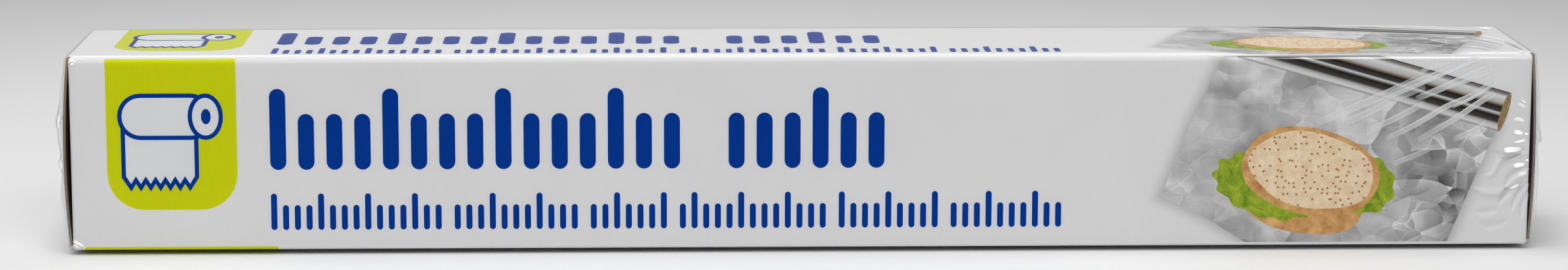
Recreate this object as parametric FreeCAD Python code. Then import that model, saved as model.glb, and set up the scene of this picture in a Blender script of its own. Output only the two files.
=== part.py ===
import FreeCAD
import Part
import math
import os

# A long folding carton of coated board, glued shut at both ends, in a tight wrap of shrink film.
# Millimetres. X runs along the carton, the printed front looks towards -Y and Z is up.
# The origin is under the middle of the wrapped carton, on the surface that it rests on.

# Carton
CARTON_LENGTH = 300.0  # between the upright folds of the front panel
CARTON_DEPTH = 40.0
CARTON_HEIGHT = 40.0  # over the front panel's two long folds
BOARD = 0.5  # thickness of the board
TOP_FOLD_RADIUS = 1.4  # outside of the two long folds beside the top panel
BOTTOM_FOLD_RADIUS = 0.8  # outside of the two beside the bottom panel
BOTTOM_BELLY = 0.8  # the roll's weight presses the bottom panel this far below its folds
BELLY_FLAT = 22.0  # width of the flat strip that the carton rests on
DUST_FOLD_RADIUS = 0.6  # outside of the folds of the dust flaps and the inner flaps
SEAM_EDGE_RISE = 1.3  # the raw lower edge of the back panel, above the long folds' underside

# Outer end flap, hinged on the top panel and glued down over the others
FLAP_FOLD_RADIUS = 0.7
FLAP_SIDE_INSET = 0.8  # from the front and back faces to the flap's raw upright edges
FLAP_FOOT_RISE = 0.9  # its free lower edge, above the long folds' underside
FLAP_FOOT_STAND = 0.15  # how far that edge stands off the carton's end
LEFT_FLAP_BOW = 1.0  # how far the flap bellies out half way up
RIGHT_FLAP_BOW = 0.75
UNGLUED_MARGIN = 9.0  # open slot behind each raw upright edge, as far in as the glue

# Inner end flap, hinged on the bottom panel, under the outer one
INNER_FLAP_INSET = 3.0
INNER_FLAP_HEIGHT = 27.0
INNER_FLAP_CLIP = 5.0  # its clipped upper corners

# Shrink film
FILM = 0.1
FILM_CLEARANCE = 0.1
FILM_REACH = 2.6  # edge of the end seal beyond the carton's end
SEAL_FIN = 0.6  # trimmed edge left outside the seal
SEAL_END_INSET = 1.0  # the seal stops this far inside the front and back faces
LEFT_SEAL_RISE = 26.3  # the level seals' heights above the long folds' underside
RIGHT_SEAL_RISE = 21.8
GUSSET_GATHER = 5.0  # length of seal that takes up the film of a whole upright side
PLEAT_DEPTH = 0.3
PLEAT_WAVES = 13  # pleats round one end
PLEAT_SWELLS = 2.3  # how often deep and shallow pleats take turns round one end
SHALLOWEST_PLEAT = 0.3  # share of the full depth

# Facets of the film
SIDE_STEPS = 10  # an even number: half of them above the seal's level, half below
FOLD_STEPS = 4
TURN_STEPS = 3
END_RINGS = (0.14, 0.32, 0.5, 0.68, 0.85, 1.0)  # share of the way from the end's rim to its seal

# What follows from them
END_X = CARTON_LENGTH / 2
FLOOR_Z = FILM + FILM_CLEARANCE  # underside of the carton's belly, which stands on the film
BASE_Z = FLOOR_Z + BOTTOM_BELLY  # underside of the long folds
TOP_Z = BASE_Z + CARTON_HEIGHT
MIDDLE_Z = BASE_Z + CARTON_HEIGHT / 2
HALF_DEPTH = CARTON_DEPTH / 2
FILM_OFFSET = FILM + FILM_CLEARANCE
PAST_ENDS = CARTON_LENGTH + 4 * FILM_REACH  # a length that reaches past everything at the ends
SAME_POINT = 1e-5  # corners of facets this near each other are one

X_AXIS = FreeCAD.Vector(1, 0, 0)
Y_AXIS = FreeCAD.Vector(0, 1, 0)
ORIGIN = FreeCAD.Vector(0, 0, 0)


def outline_wire(corners, bends):
    """A closed wire through corners. A corner with a bend in bends is the middle of an arc."""
    edges = []
    count = len(corners)
    step = 0
    while step < count:
        start = corners[step]
        if (step + 1) % count in bends:
            end = corners[(step + 2) % count]
            edges.append(Part.Arc(start, corners[(step + 1) % count], end).toShape())
            step += 2
        else:
            edges.append(Part.LineSegment(start, corners[(step + 1) % count]).toShape())
            step += 1
    return Part.Wire(edges)


def fold_arc(x, y_side, z_side):
    """Start, middle and end of a long fold at x, from its upright panel to its level one."""
    radius = TOP_FOLD_RADIUS if z_side > 0 else BOTTOM_FOLD_RADIUS
    z_edge = TOP_Z if z_side > 0 else BASE_Z
    near = radius * (1 - math.sqrt(0.5))
    return [
        FreeCAD.Vector(x, y_side * HALF_DEPTH, z_edge - z_side * radius),
        FreeCAD.Vector(x, y_side * (HALF_DEPTH - near), z_edge - z_side * near),
        FreeCAD.Vector(x, y_side * (HALF_DEPTH - radius), z_edge),
    ]


def wrapped_section(x):
    """Cross-section of the four panels at x: rounded folds and a bottom that bellies down."""
    strip = [FreeCAD.Vector(x, side * BELLY_FLAT / 2, FLOOR_Z) for side in (1, -1)]
    corners = fold_arc(x, -1, -1)[::-1] + fold_arc(x, -1, 1) + fold_arc(x, 1, 1)[::-1]
    corners += fold_arc(x, 1, -1) + strip
    return Part.Face(outline_wire(corners, bends=(1, 4, 7, 10)))


def tube(length):
    """The four panels as one full block, length long, centred on the origin along X."""
    return wrapped_section(-length / 2).extrude(X_AXIS * length)


def flap_profile(bow):
    """Side view of the outer flap at the +X end: its hinge, its belly and its free foot."""
    arc_point = FLAP_FOLD_RADIUS * (1 - math.sqrt(0.5))
    outer_x = END_X + BOARD
    fold_z = TOP_Z - FLAP_FOLD_RADIUS
    foot_z = BASE_Z + FLAP_FOOT_RISE
    foot_x = END_X + FLAP_FOOT_STAND
    belly_z = (fold_z + foot_z) / 2
    points = (
        (END_X - BOARD, TOP_Z),
        (outer_x - FLAP_FOLD_RADIUS, TOP_Z),
        (outer_x - arc_point, TOP_Z - arc_point),
        (outer_x, fold_z),
        (outer_x + bow, belly_z),
        (foot_x + BOARD, foot_z),
        (foot_x, foot_z),
        (END_X + bow, belly_z),
        (END_X, fold_z),
        (END_X - BOARD, fold_z),
    )
    return outline_wire([FreeCAD.Vector(x, 0, z) for x, z in points], bends=(2, 4, 7))


def glue_profile(bow):
    """Side view of what fills the belly where the outer flap is glued down."""
    fold_z = TOP_Z - FLAP_FOLD_RADIUS
    foot_z = BASE_Z + FLAP_FOOT_RISE
    points = (
        (END_X, foot_z),
        (END_X, fold_z),
        (END_X + bow, (fold_z + foot_z) / 2),
        (END_X + FLAP_FOOT_STAND, foot_z),
    )
    return outline_wire([FreeCAD.Vector(x, 0, z) for x, z in points], bends=(2,))


def across(profile, half_width):
    """A side view extruded across the carton, from -half_width to half_width."""
    face = Part.Face(profile)
    face.translate(Y_AXIS * -half_width)
    return face.extrude(Y_AXIS * 2 * half_width)


def inner_flap():
    """The flap under the outer one, hinged on the bottom panel, with clipped corners."""
    half = HALF_DEPTH - INNER_FLAP_INSET
    clipped = half - INNER_FLAP_CLIP
    root_z = BASE_Z + DUST_FOLD_RADIUS
    head_z = BASE_Z + INNER_FLAP_HEIGHT
    points = (
        (-half, root_z),
        (half, root_z),
        (half, head_z - INNER_FLAP_CLIP),
        (clipped, head_z),
        (-clipped, head_z),
        (-half, head_z - INNER_FLAP_CLIP),
    )
    wire = outline_wire([FreeCAD.Vector(END_X - BOARD, y, z) for y, z in points], bends=())
    return Part.Face(wire).extrude(X_AXIS * 2 * BOARD)


def end_flaps(bow):
    """Everything folded over the +X end, beyond the dust flaps."""
    outer = across(flap_profile(bow), HALF_DEPTH - FLAP_SIDE_INSET)
    glue = across(glue_profile(bow), HALF_DEPTH - FLAP_SIDE_INSET - UNGLUED_MARGIN)
    # the inner flap is pressed flat where the belly is thinner than the board
    belly = across(glue_profile(bow), HALF_DEPTH)
    inner = inner_flap().common(belly)
    flaps = outer.fuse([glue, inner])
    return flaps.common(tube(PAST_ENDS))


def end_rims(block):
    """The outline edges of both ends of a block."""
    return [
        edge
        for edge in block.Edges
        if abs(edge.BoundBox.XLength) < BOARD / 10 and abs(edge.CenterOfMass.x) > END_X - BOARD
    ]


def carton():
    """Panels, dust flaps, end flaps and what they hold, as one glued-up pack."""
    block = tube(CARTON_LENGTH)
    block = block.makeFillet(DUST_FOLD_RADIUS, end_rims(block))
    right = end_flaps(RIGHT_FLAP_BOW)
    left = end_flaps(LEFT_FLAP_BOW).mirror(ORIGIN, X_AXIS)
    block = block.fuse([right, left])
    # the back panel ends in a raw edge, one board's thickness outside the glued seam flap
    corner = FreeCAD.Vector(-PAST_ENDS / 2, HALF_DEPTH - BOARD, BASE_Z - SEAM_EDGE_RISE)
    seam = Part.makeBox(PAST_ENDS, 2 * BOARD, 2 * SEAM_EDGE_RISE, corner)
    return block.cut(seam).removeSplitter()


def quarter_outline(half, rise, radius, start):
    """(y, z) points of a centred outline, from height start on the front to the top's middle."""
    half_steps = SIDE_STEPS // 2
    side = rise - radius - start
    points = [(-half, start + side * step / half_steps) for step in range(half_steps)]
    for step in range(FOLD_STEPS):
        turn = math.pi / 2 * step / FOLD_STEPS
        points.append((-half + radius * (1 - math.cos(turn)), rise - radius * (1 - math.sin(turn))))
    points += [(-(half - radius) * (1 - step / half_steps), rise) for step in range(half_steps)]
    return points


def belly_drop(y):
    """How far the bottom panel has bellied down at y."""
    slope_width = HALF_DEPTH - BOTTOM_FOLD_RADIUS - BELLY_FLAT / 2
    inside = (HALF_DEPTH - BOTTOM_FOLD_RADIUS - abs(y)) / slope_width
    return BOTTOM_BELLY * min(max(inside, 0.0), 1.0)


def film_outline(offset, inset, seal_rise):
    """(y, z) points round the carton, offset outside it and then drawn in by inset.

    The first point lies on the front, level with the seal, and the way round goes over the top.
    """
    grow = offset - inset
    half = HALF_DEPTH + grow
    rise = CARTON_HEIGHT / 2 + grow
    start = seal_rise - CARTON_HEIGHT / 2
    over = quarter_outline(half, rise, max(TOP_FOLD_RADIUS + grow, FILM), start)
    under = quarter_outline(half, rise, max(BOTTOM_FOLD_RADIUS + grow, FILM), -start)
    upper = over + [(0.0, rise)] + [(-y, z) for y, z in reversed(over)]
    under = under + [(0.0, rise)] + [(-y, z) for y, z in reversed(under)]
    lower = [(y, -z - belly_drop(y)) for y, z in reversed(under[1:-1])]
    return [(y, MIDDLE_Z + z) for y, z in upper + lower]


def seal_point(index, count, half_thickness, seal_rise):
    """(y, z) on the end seal where point index of an outline with count points is gathered."""
    half_count = count // 2
    side = min(index, count - index)  # steps from the first point, over or under
    gusset = SIDE_STEPS // 2 + FOLD_STEPS / 2
    half_seal = HALF_DEPTH - SEAL_END_INSET
    straight = half_seal - GUSSET_GATHER
    from_end = min(side, half_count - side)
    if from_end <= gusset:
        reach = half_seal - GUSSET_GATHER * from_end / gusset
    else:
        reach = straight * (half_count / 2 - from_end) / (half_count / 2 - gusset)
    y = -reach if side < half_count / 2 else reach
    above = 0 if index in (0, half_count) else (1 if index < half_count else -1)
    return y, BASE_Z + seal_rise + above * half_thickness


def belly(z):
    """How far the bowed flap has bellied out at height z, from 0 at its ends to 1."""
    share = (z - BASE_Z) / CARTON_HEIGHT
    return max(4 * share * (1 - share), 0.0)


def pleat(index, count):
    """Height of the pleat at point index, from 0 to 1. Deep and shallow ones take turns."""
    turn = 2 * math.pi * index / count
    wave = (1 + math.sin(PLEAT_WAVES * turn)) / 2
    swell = (1 + math.sin(PLEAT_SWELLS * turn)) / 2
    return wave * (SHALLOWEST_PLEAT + (1 - SHALLOWEST_PLEAT) * swell)


def end_rings(offset, bow, seal_rise, fin):
    """Rings of (x, y, z) from the +X end of the straight film to its seal, and out along its fin."""
    rings = []
    turn_radius = FLAP_FOLD_RADIUS + offset
    flap_x = END_X + BOARD + FLAP_FOOT_STAND
    turn_x = flap_x - FLAP_FOLD_RADIUS
    for step in range(TURN_STEPS + 1):
        turn = math.pi / 2 * step / TURN_STEPS
        flat = film_outline(offset, turn_radius * (1 - math.cos(turn)), seal_rise)
        reach = math.sin(turn)
        rings.append([(turn_x + reach * (turn_radius + bow * belly(z)), y, z) for y, z in flat])
    rim = film_outline(offset, turn_radius, seal_rise)
    count = len(rim)
    slack = END_X + FILM_REACH - SEAL_FIN - flap_x - FILM_OFFSET - bow
    for share in END_RINGS:
        ring = []
        for index, (y, z) in enumerate(rim):
            seal_y, seal_z = seal_point(index, count, FILM if fin else FILM / 2, seal_rise)
            ring_y = y + (seal_y - y) * share
            ring_z = z + (seal_z - z) * share
            lift = PLEAT_DEPTH * pleat(index, count) * 4 * share * (1 - share)
            x = flap_x + offset + bow * belly(ring_z) + slack * share + lift
            ring.append((x, ring_y, ring_z))
        rings.append(ring)
    if fin:
        rings.append([(END_X + FILM_REACH, y, z) for _, y, z in rings[-1]])
    return rings


def ring_facets(rings):
    """Triangles of a closed skin through rings, with both ends pinched shut."""
    count = len(rings[0])
    half_count = count // 2
    facets = []
    for number in range(len(rings) - 1):
        here = number * count
        there = here + count
        for index in range(count):
            after = (index + 1) % count
            facets.append((here + index, there + after, there + index))
            facets.append((here + index, here + after, there + after))
    for first, order in ((0, 1), ((len(rings) - 1) * count, -1)):
        for index in range(half_count):
            corners = [first + index, first + index + 1, first + (count - index - 1) % count]
            if index < half_count - 1:
                facets.append(tuple(corners[::order]))
            if index > 0:
                corners = [first + index, first + count - index - 1, first + count - index]
                facets.append(tuple(corners[::order]))
    return facets


def film_skin(offset, fin):
    """A closed skin round the carton, offset outside it, with or without the seals' fins."""
    right = end_rings(offset, RIGHT_FLAP_BOW, RIGHT_SEAL_RISE, fin)
    left = end_rings(offset, LEFT_FLAP_BOW, LEFT_SEAL_RISE, fin)
    left = [[(-x, y, z) for x, y, z in ring] for ring in left]
    rings = left[::-1] + right
    points = [FreeCAD.Vector(*point) for ring in rings for point in ring]
    skin = Part.Shape()
    skin.makeShapeFromMesh((points, ring_facets(rings)), SAME_POINT)
    solid = Part.makeSolid(skin)
    if solid.Volume < 0:
        solid.reverse()
    return solid.removeSplitter()


def film_wrap():
    """Shrink film, gathered at each end into a seal that runs from front to back."""
    return film_skin(FILM_OFFSET, fin=True).cut(film_skin(FILM_CLEARANCE, fin=False))


def main():
    os.makedirs("parts", exist_ok=True)
    for name, shape in (("carton", carton()), ("film_wrap", film_wrap())):
        shape.exportStep(f"parts/{name}.step")
        box = shape.BoundBox
        print(
            f"{name}: {len(shape.Solids)} solid, valid {shape.isValid()}, {shape.Volume:.1f} mm3,"
            f" {box.XLength:.2f} x {box.YLength:.2f} x {box.ZLength:.2f} mm from z {box.ZMin:.3f}"
        )


main()
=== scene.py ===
import math

import bpy
import numpy as np
from mathutils import Matrix, Vector
from mathutils.geometry import delaunay_2d_cdt


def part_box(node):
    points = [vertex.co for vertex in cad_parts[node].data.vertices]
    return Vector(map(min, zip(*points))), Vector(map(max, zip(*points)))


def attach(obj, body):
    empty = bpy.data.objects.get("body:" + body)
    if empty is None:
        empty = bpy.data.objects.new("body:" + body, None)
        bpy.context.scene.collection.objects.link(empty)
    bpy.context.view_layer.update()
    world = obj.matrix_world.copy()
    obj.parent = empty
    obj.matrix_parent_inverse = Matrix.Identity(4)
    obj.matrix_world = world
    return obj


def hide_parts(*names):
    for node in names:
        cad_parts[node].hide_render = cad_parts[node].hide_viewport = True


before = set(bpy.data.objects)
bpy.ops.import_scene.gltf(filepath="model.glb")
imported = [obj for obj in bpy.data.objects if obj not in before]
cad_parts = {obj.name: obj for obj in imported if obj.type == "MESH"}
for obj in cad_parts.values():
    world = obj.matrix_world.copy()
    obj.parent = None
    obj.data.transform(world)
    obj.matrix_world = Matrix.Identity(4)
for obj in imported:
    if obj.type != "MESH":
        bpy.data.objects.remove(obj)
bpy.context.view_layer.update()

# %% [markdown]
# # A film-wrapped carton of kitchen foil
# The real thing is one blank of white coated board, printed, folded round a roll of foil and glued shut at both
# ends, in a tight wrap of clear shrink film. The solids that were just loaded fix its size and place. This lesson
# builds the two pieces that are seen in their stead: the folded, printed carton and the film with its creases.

MM = 0.001  # a millimetre in metres
for name in sorted(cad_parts):
    low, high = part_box(name)
    print(name, "from", [round(value / MM, 2) for value in low], "to", [round(value / MM, 2) for value in high])

# %% [markdown]
# ## Sizes of the carton
# A carton is measured between its folds. Everything below is in millimetres and becomes metres only when a mesh is
# made, because board thicknesses and fold radii are easier to read that way. The panels are flat, the long folds
# are small arcs, and the bottom panel bellies down a little under the weight of the roll, which lifts the two
# lower folds off the table and leaves the thin dark line that is seen under the front.

# %% Sizes
END_X = 150.0  # the front panel's upright folds
HALF_DEPTH = 20.0  # half of the carton's depth, from front to back
TOP_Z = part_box("carton")[1].z / MM
FLOOR_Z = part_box("carton")[0].z / MM
BELLY = 0.8  # how far the roll presses the bottom panel down
BELLY_FLAT = 11.0  # half the width that it presses flat
BASE_Z = FLOOR_Z + BELLY  # underside of the long folds
TOP_FOLD = 1.4  # outer radius of the two upper folds
BOTTOM_FOLD = 0.8  # and of the two lower ones
BOARD = 0.5  # its thickness
RIM_FOLD = 0.6  # folds of the dust flaps
SEAM_RISE = 1.3  # the back panel's raw lower edge, above the folds' underside
print(f"front panel {2 * END_X:.0f} x {TOP_Z - BASE_Z:.2f} mm, {2 * HALF_DEPTH:.0f} mm deep")

# %% [markdown]
# ## Gathering points into a mesh
# A folded carton is smooth over each fold and sharp at each cut edge. Blender can guess that from angles, but a
# guess fails on long thin facets. So each part here is given with its own normals, worked out from the shape that
# it is cut from, and one collector turns them all into a mesh with a material for each facet.

# %% A collector for points, normals and facets
class Gathered:
    """Points in millimetres with normals, panel places and shades, and facets with the finish of each."""

    def __init__(self):
        self.points, self.normals, self.places, self.shades = [], [], [], []
        self.facets, self.finishes = [], []

    def add(self, points, normals, facets, finish, places=None, shades=None):
        first = len(self.points)
        self.points += [tuple(point) for point in points]
        self.normals += [tuple(normal) for normal in normals]
        self.places += places if places else [(point[0], point[2]) for point in points]
        self.shades += shades if shades else [0.0] * len(points)
        for facet in facets:
            corners = [Vector(points[corner]) for corner in facet]
            facing = sum((a.cross(b) for a, b in zip(corners, corners[1:] + corners[:1])), Vector())
            outward = sum((Vector(normals[corner]) for corner in facet), Vector())
            order = 1 if facing.dot(outward) >= 0 else -1
            self.facets.append(tuple(first + corner for corner in facet[::order]))
        self.finishes += finish if isinstance(finish, list) else [finish] * len(facets)

    def make(self, name, materials, shade_name):
        """A mesh object in metres, with the shades kept as a point attribute."""
        order = list(materials)
        mesh = bpy.data.meshes.new(name)
        mesh.from_pydata([Vector(point) * MM for point in self.points], [], self.facets)
        for material in materials.values():
            mesh.materials.append(material)
        mesh.polygons.foreach_set("material_index", [order.index(finish) for finish in self.finishes])
        mesh.polygons.foreach_set("use_smooth", [True] * len(self.facets))
        panel = mesh.uv_layers.new(name="panel")
        corners = np.zeros(len(mesh.loops), dtype=np.int32)
        mesh.loops.foreach_get("vertex_index", corners)
        panel.uv.foreach_set("vector", np.array(self.places)[corners].ravel())
        mesh.attributes.new(shade_name, "FLOAT", "POINT").data.foreach_set("value", self.shades)
        mesh.normals_split_custom_set_from_vertices([Vector(normal).normalized() for normal in self.normals])
        made = bpy.data.objects.new(name, mesh)
        bpy.context.scene.collection.objects.link(made)
        print(f"{name}: {len(mesh.vertices)} points, {sum(len(facet) - 2 for facet in self.facets)} triangles")
        return made


# %% Facets between rows of points
def strip_facets(rows, columns):
    """Facets of an open strip, given as rows of points with that many columns."""
    facets = []
    for row in range(rows - 1):
        for column in range(columns - 1):
            first = row * columns + column
            facets.append((first, first + columns, first + columns + 1, first + 1))
    return facets


def ring_facets(rings, count):
    """Facets of a sleeve, given as closed rings with count points each."""
    facets = []
    for ring in range(rings - 1):
        here, there = ring * count, (ring + 1) * count
        for index in range(count):
            after = (index + 1) % count
            facets.append((here + index, here + after, there + after, there + index))
    return facets


print(f"three rows of five points: {len(strip_facets(3, 5))} facets, three rings of five: {len(ring_facets(3, 5))}")

# %% [markdown]
# ## The outline of the section
# Seen from the end, the board runs from the back panel's raw lower edge up the back, over the top, down the front,
# under the bottom and up behind the back panel's edge, where it is glued. Each stop on that walk keeps how far it is
# along the board, so that flat artwork can later be wrapped round it without stretching, as the press did.

# %% Walk round the section
FOLD_STEPS = 6


def fold(centre_y, centre_z, radius, start_degrees):
    """Stops on a quarter fold, as (y, z, normal y, normal z), turning forward from start_degrees."""
    stops = []
    for step in range(FOLD_STEPS + 1):
        angle = math.radians(start_degrees + 90 * step / FOLD_STEPS)
        normal = (math.cos(angle), math.sin(angle))
        stops.append((centre_y + radius * normal[0], centre_z + radius * normal[1], *normal))
    return stops


def section_stops(inset=0.0):
    """The walk from the back panel's foot over the top to the glued seam, drawn in by inset."""
    half, top, base = HALF_DEPTH - inset, TOP_Z - inset, BASE_Z + inset
    upper = TOP_FOLD - inset
    lower = BOTTOM_FOLD - inset
    stops = [(half, BASE_Z + SEAM_RISE, 1.0, 0.0)]
    stops += fold(half - upper, top - upper, upper, 0)
    stops += fold(-half + upper, top - upper, upper, 90)
    stops += fold(-half + lower, base + lower, lower, 180)
    stops += [(-BELLY_FLAT, base - BELLY, 0.0, -1.0), (BELLY_FLAT, base - BELLY, 0.0, -1.0)]
    stops += fold(half - BOARD - lower, base + lower, lower, 270)
    stops += [(half - BOARD, BASE_Z + SEAM_RISE, 1.0, 0.0)]
    return stops


stops = section_stops()
run = [0.0]
for here, after in zip(stops, stops[1:]):
    run.append(run[-1] + math.dist(here[:2], after[:2]))
TOP_START = run[1 + FOLD_STEPS // 2]  # middle of the fold between back and top
FRONT_START = run[2 + FOLD_STEPS + FOLD_STEPS // 2]  # middle of the fold between top and front
BOTTOM_START = run[3 + 2 * FOLD_STEPS + FOLD_STEPS // 2]
BOTTOM_END = run[6 + 3 * FOLD_STEPS + FOLD_STEPS // 2]
print(f"board round the section {run[-1]:.1f} mm, top from {TOP_START:.1f}, front from {FRONT_START:.1f} mm")

# %% [markdown]
# ## The artwork, drawn flat
# The press prints the flat blank, so the artwork is drawn flat too: closed outlines on a sheet whose one side runs
# along the carton and whose other side runs round it. Simple shapes stand for the real design: a lime tab with a
# small picture sign, two rows of navy bars, and a picture of foil, its roll and bread. The same design is on the
# top and on the front, and each copy stops at the folds.

# %% Outlines to draw with
def signed_area(outline):
    """Twice the area of an outline, below 0 where it runs the other way round."""
    return sum(a[0] * b[1] - b[0] * a[1] for a, b in zip(outline, outline[1:] + outline[:1]))


def ellipse(centre, radii, tilt=0.0, count=40, wobble=0.0, waves=5):
    """Points round an ellipse, tilted in degrees; wobble swells it by that share, waves times round."""
    tilt = math.radians(tilt)
    outline = []
    for step in range(count):
        turn = 2 * math.pi * step / count
        swell = 1 + wobble * math.sin(waves * turn + waves)
        across, down = radii[0] * swell * math.cos(turn), radii[1] * swell * math.sin(turn)
        outline.append(
            (
                centre[0] + across * math.cos(tilt) - down * math.sin(tilt),
                centre[1] + across * math.sin(tilt) + down * math.cos(tilt),
            )
        )
    return outline


def rounded(left, top, right, bottom, radius, square_top=False, steps=7):
    """A rectangle with rounded corners, the two upper ones square if asked."""
    outline = []
    for x, y, first in ((right, bottom, 0), (left, bottom, 90), (left, top, 180), (right, top, 270)):
        bend = 0.0 if square_top and y == top else radius
        inner_x = x - bend if x == right else x + bend
        inner_y = y - bend if y == bottom else y + bend
        for step in range(steps + 1 if bend else 1):
            angle = math.radians(first + 90 * step / steps)
            outline.append((inner_x + bend * math.cos(angle), inner_y + bend * math.sin(angle)))
    return outline


def swollen(outline, margin):
    """The outline pushed outwards by margin, for a drawn border round a shape."""
    side = 1 if signed_area(outline) > 0 else -1
    pushed = []
    for before, here, after in zip(outline[-1:] + outline[:-1], outline, outline[1:] + outline[:1]):
        normals = []
        for start, end in ((before, here), (here, after)):
            length = math.dist(start, end)
            normals.append(((end[1] - start[1]) / length * side, (start[0] - end[0]) / length * side))
        mean = ((normals[0][0] + normals[1][0]) / 2, (normals[0][1] + normals[1][1]) / 2)
        reach = margin / max(mean[0] ** 2 + mean[1] ** 2, 0.3)
        pushed.append((here[0] + mean[0] * reach, here[1] + mean[1] * reach))
    return pushed


def trimmed(outline, top, bottom):
    """What is left of an outline between two levels, as a knife along the folds would leave it."""
    for level, keep_above in ((top, False), (bottom, True)):
        kept = []
        for here, after in zip(outline, outline[1:] + outline[:1]):
            inside, next_inside = ((p[1] <= level) == keep_above or p[1] == level for p in (here, after))
            if inside:
                kept.append(here)
            if inside != next_inside:
                share = (level - here[1]) / (after[1] - here[1])
                kept.append((here[0] + share * (after[0] - here[0]), level))
        outline = kept
    return outline


cut_disc = trimmed(ellipse((0, 0), (5, 5)), -2, 2)
print("points round a tab:", len(rounded(0, 0, 10, 10, 2)), "and round a disc cut at two levels:", len(cut_disc))

# %% The sign and the bars
def picture_sign():
    """A roll with its sheet hanging down to a toothed edge, bordered in navy, for the lime tab."""
    teeth = []
    for tooth in range(7):
        teeth += [(25.2 - 2 * tooth, 24.6), (24.2 - 2 * tooth, 26.2)]
    sheet = [(25.2, 13.0), *teeth, (11.2, 24.6), (11.2, 13.0)]
    body = rounded(10.6, 8.4, 28.4, 16.2, 3.8)
    end = ellipse((27.6, 12.3), (2.7, 3.9), count=28)
    core = ellipse((27.7, 12.3), (1.0, 1.6), count=20)
    shapes = []
    for outline in (sheet, body, end):
        shapes += [("navy ink", swollen(outline, 0.9)), ("sign white", outline)]
    return shapes + [("navy ink", core)]


def bar_row(left, right, foot, low, tall, width, gap, groups):
    """Upright bars with round ends on one foot line, in groups of the given counts; some bars are tall."""
    bars = []
    step = width + gap
    spare = right - left - sum(groups) * step + gap
    x = left
    for number, group in enumerate(groups):
        for bar in range(group):
            height = tall if (bar + number) % 4 == 0 else low
            bars.append(("navy ink", rounded(x, foot - height, x + width, foot, width * 0.499, steps=5)))
            x += step
        x += spare / max(len(groups) - 1, 1)
    return bars


print("shapes in the sign:", len(picture_sign()))

# %% [markdown]
# ## The picture and the whole panel
# The picture shows a slanted sheet of creased foil with a soft grey shadow round it, the roll that it comes off, with
# the brown core at its end, and a round filled bun. Each shape is drawn over the one before, as layers of ink are,
# so the bun needs no hidden parts. The outlines stay simple, because the creases and pores come with the finishes.

# %% The picture and the whole panel
FOIL_SHEET = [(236.6, -1.0), (229.4, 14.2), (223.6, 29.6), (233.8, 34.6), (243.2, 40.5), (282.8, 40.5),
              (287.6, 28.4), (293.0, 15.6), (292.8, 11.7), (248.4, -1.0)]
PICTURE_FOOT = 39.3  # the picture ends a little above the lower fold
PANEL_HEIGHT = 40.0
ROLL_START, ROLL_END = (240.0, -3.4), (294.4, 12.2)  # the roll's middle line in the picture
ROLL_WIDTH = 8.4
SHADOW_WIDTH = 3.2  # of the soft shadow round the sheet


def roll_outline():
    """The pictured roll, a slanted stripe on both sides of its middle line."""
    start, end = Vector(ROLL_START), Vector(ROLL_END)
    along = (end - start).normalized()
    aside = Vector((-along.y, along.x)) * ROLL_WIDTH * 0.5
    return [tuple(corner) for corner in (start - aside, end - aside, end + aside, start + aside)]


def panel_design(top, bottom):
    """(ink, outline) pairs from the first printed to the last, in millimetres from the panel's left top corner."""
    shapes = [("lime ink", rounded(7.4, top, 33.9, 31.6, 7.5, square_top=True)), *picture_sign()]
    shapes += bar_row(40.6, 166.4, foot=23.4, low=11.6, tall=16.8, width=3.3, gap=2.45, groups=(15, 6))
    shapes += bar_row(40.6, 203.0, foot=35.9, low=5.2, tall=7.6, width=1.25, gap=1.15, groups=(15, 11, 7, 13, 9, 10))
    picture = [
        ("white board", swollen(FOIL_SHEET, SHADOW_WIDTH)),
        ("foil print", FOIL_SHEET),
        ("roll print", roll_outline()),
        ("core print", ellipse(ROLL_END, (0.75, ROLL_WIDTH / 2), tilt=16, count=28)),
        ("crust print", ellipse((251.8, 29.0), (14.6, 8.2), tilt=16, wobble=0.02)),
        ("leaf print", ellipse((245.6, 27.6), (11.4, 6.4), tilt=18, wobble=0.05, waves=13, count=90)),
        ("leaf print", ellipse((265.6, 27.2), (6.6, 6.0), tilt=30, wobble=0.06, waves=9, count=70)),
        ("crust print", ellipse((254.6, 24.6), (14.6, 9.2), tilt=12, wobble=0.018, waves=4, count=60)),
        ("crumb print", ellipse((254.8, 24.3), (13.2, 7.9), tilt=12, wobble=0.022, waves=5, count=60)),
    ]
    shapes += [(ink, trimmed(outline, top, PICTURE_FOOT)) for ink, outline in picture]
    return shapes


print("shapes in one design:", len(panel_design(0.0, PANEL_HEIGHT)))

# %% [markdown]
# ## Folding the printed blank
# Blender's constrained triangulation cuts the flat blank along every outline and along every stop of the walk, and
# says which outlines each facet lies in. The last one printed gives its ink. The flat points are then carried round
# the section, where the blank's second coordinate is the length along the walk.

# %% Wrap the flat blank round the section
def wrapped(length):
    """(y, z, normal y, normal z) at a length along the walk."""
    index = min(max(int(np.searchsorted(run, length)) - 1, 0), len(run) - 2)
    share = (length - run[index]) / (run[index + 1] - run[index])
    here, after = stops[index], stops[index + 1]
    return tuple(a + share * (b - a) for a, b in zip(here, after))


def distance_outside(point, outline):
    """How far a point lies outside a closed outline, 0 inside it."""
    inside, nearest = False, math.inf
    for here, after in zip(outline, outline[1:] + outline[:1]):
        if (here[1] > point[1]) != (after[1] > point[1]):
            crossing = here[0] + (point[1] - here[1]) / (after[1] - here[1]) * (after[0] - here[0])
            inside ^= crossing > point[0]
        edge = Vector(after) - Vector(here)
        share = min(max((Vector(point) - Vector(here)).dot(edge) / edge.length_squared, 0), 1)
        nearest = min(nearest, (Vector(here) + edge * share - Vector(point)).length)
    return 0.0 if inside else nearest


FRONT_LEAD = TOP_FOLD - (run[2 + 2 * FOLD_STEPS] - FRONT_START)  # so that 0 is the level of the top panel


def length_down(length):
    """How far below the upper edge of its own panel a length along the walk lies."""
    return length - (FRONT_START if length >= FRONT_START else TOP_START) + FRONT_LEAD


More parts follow.
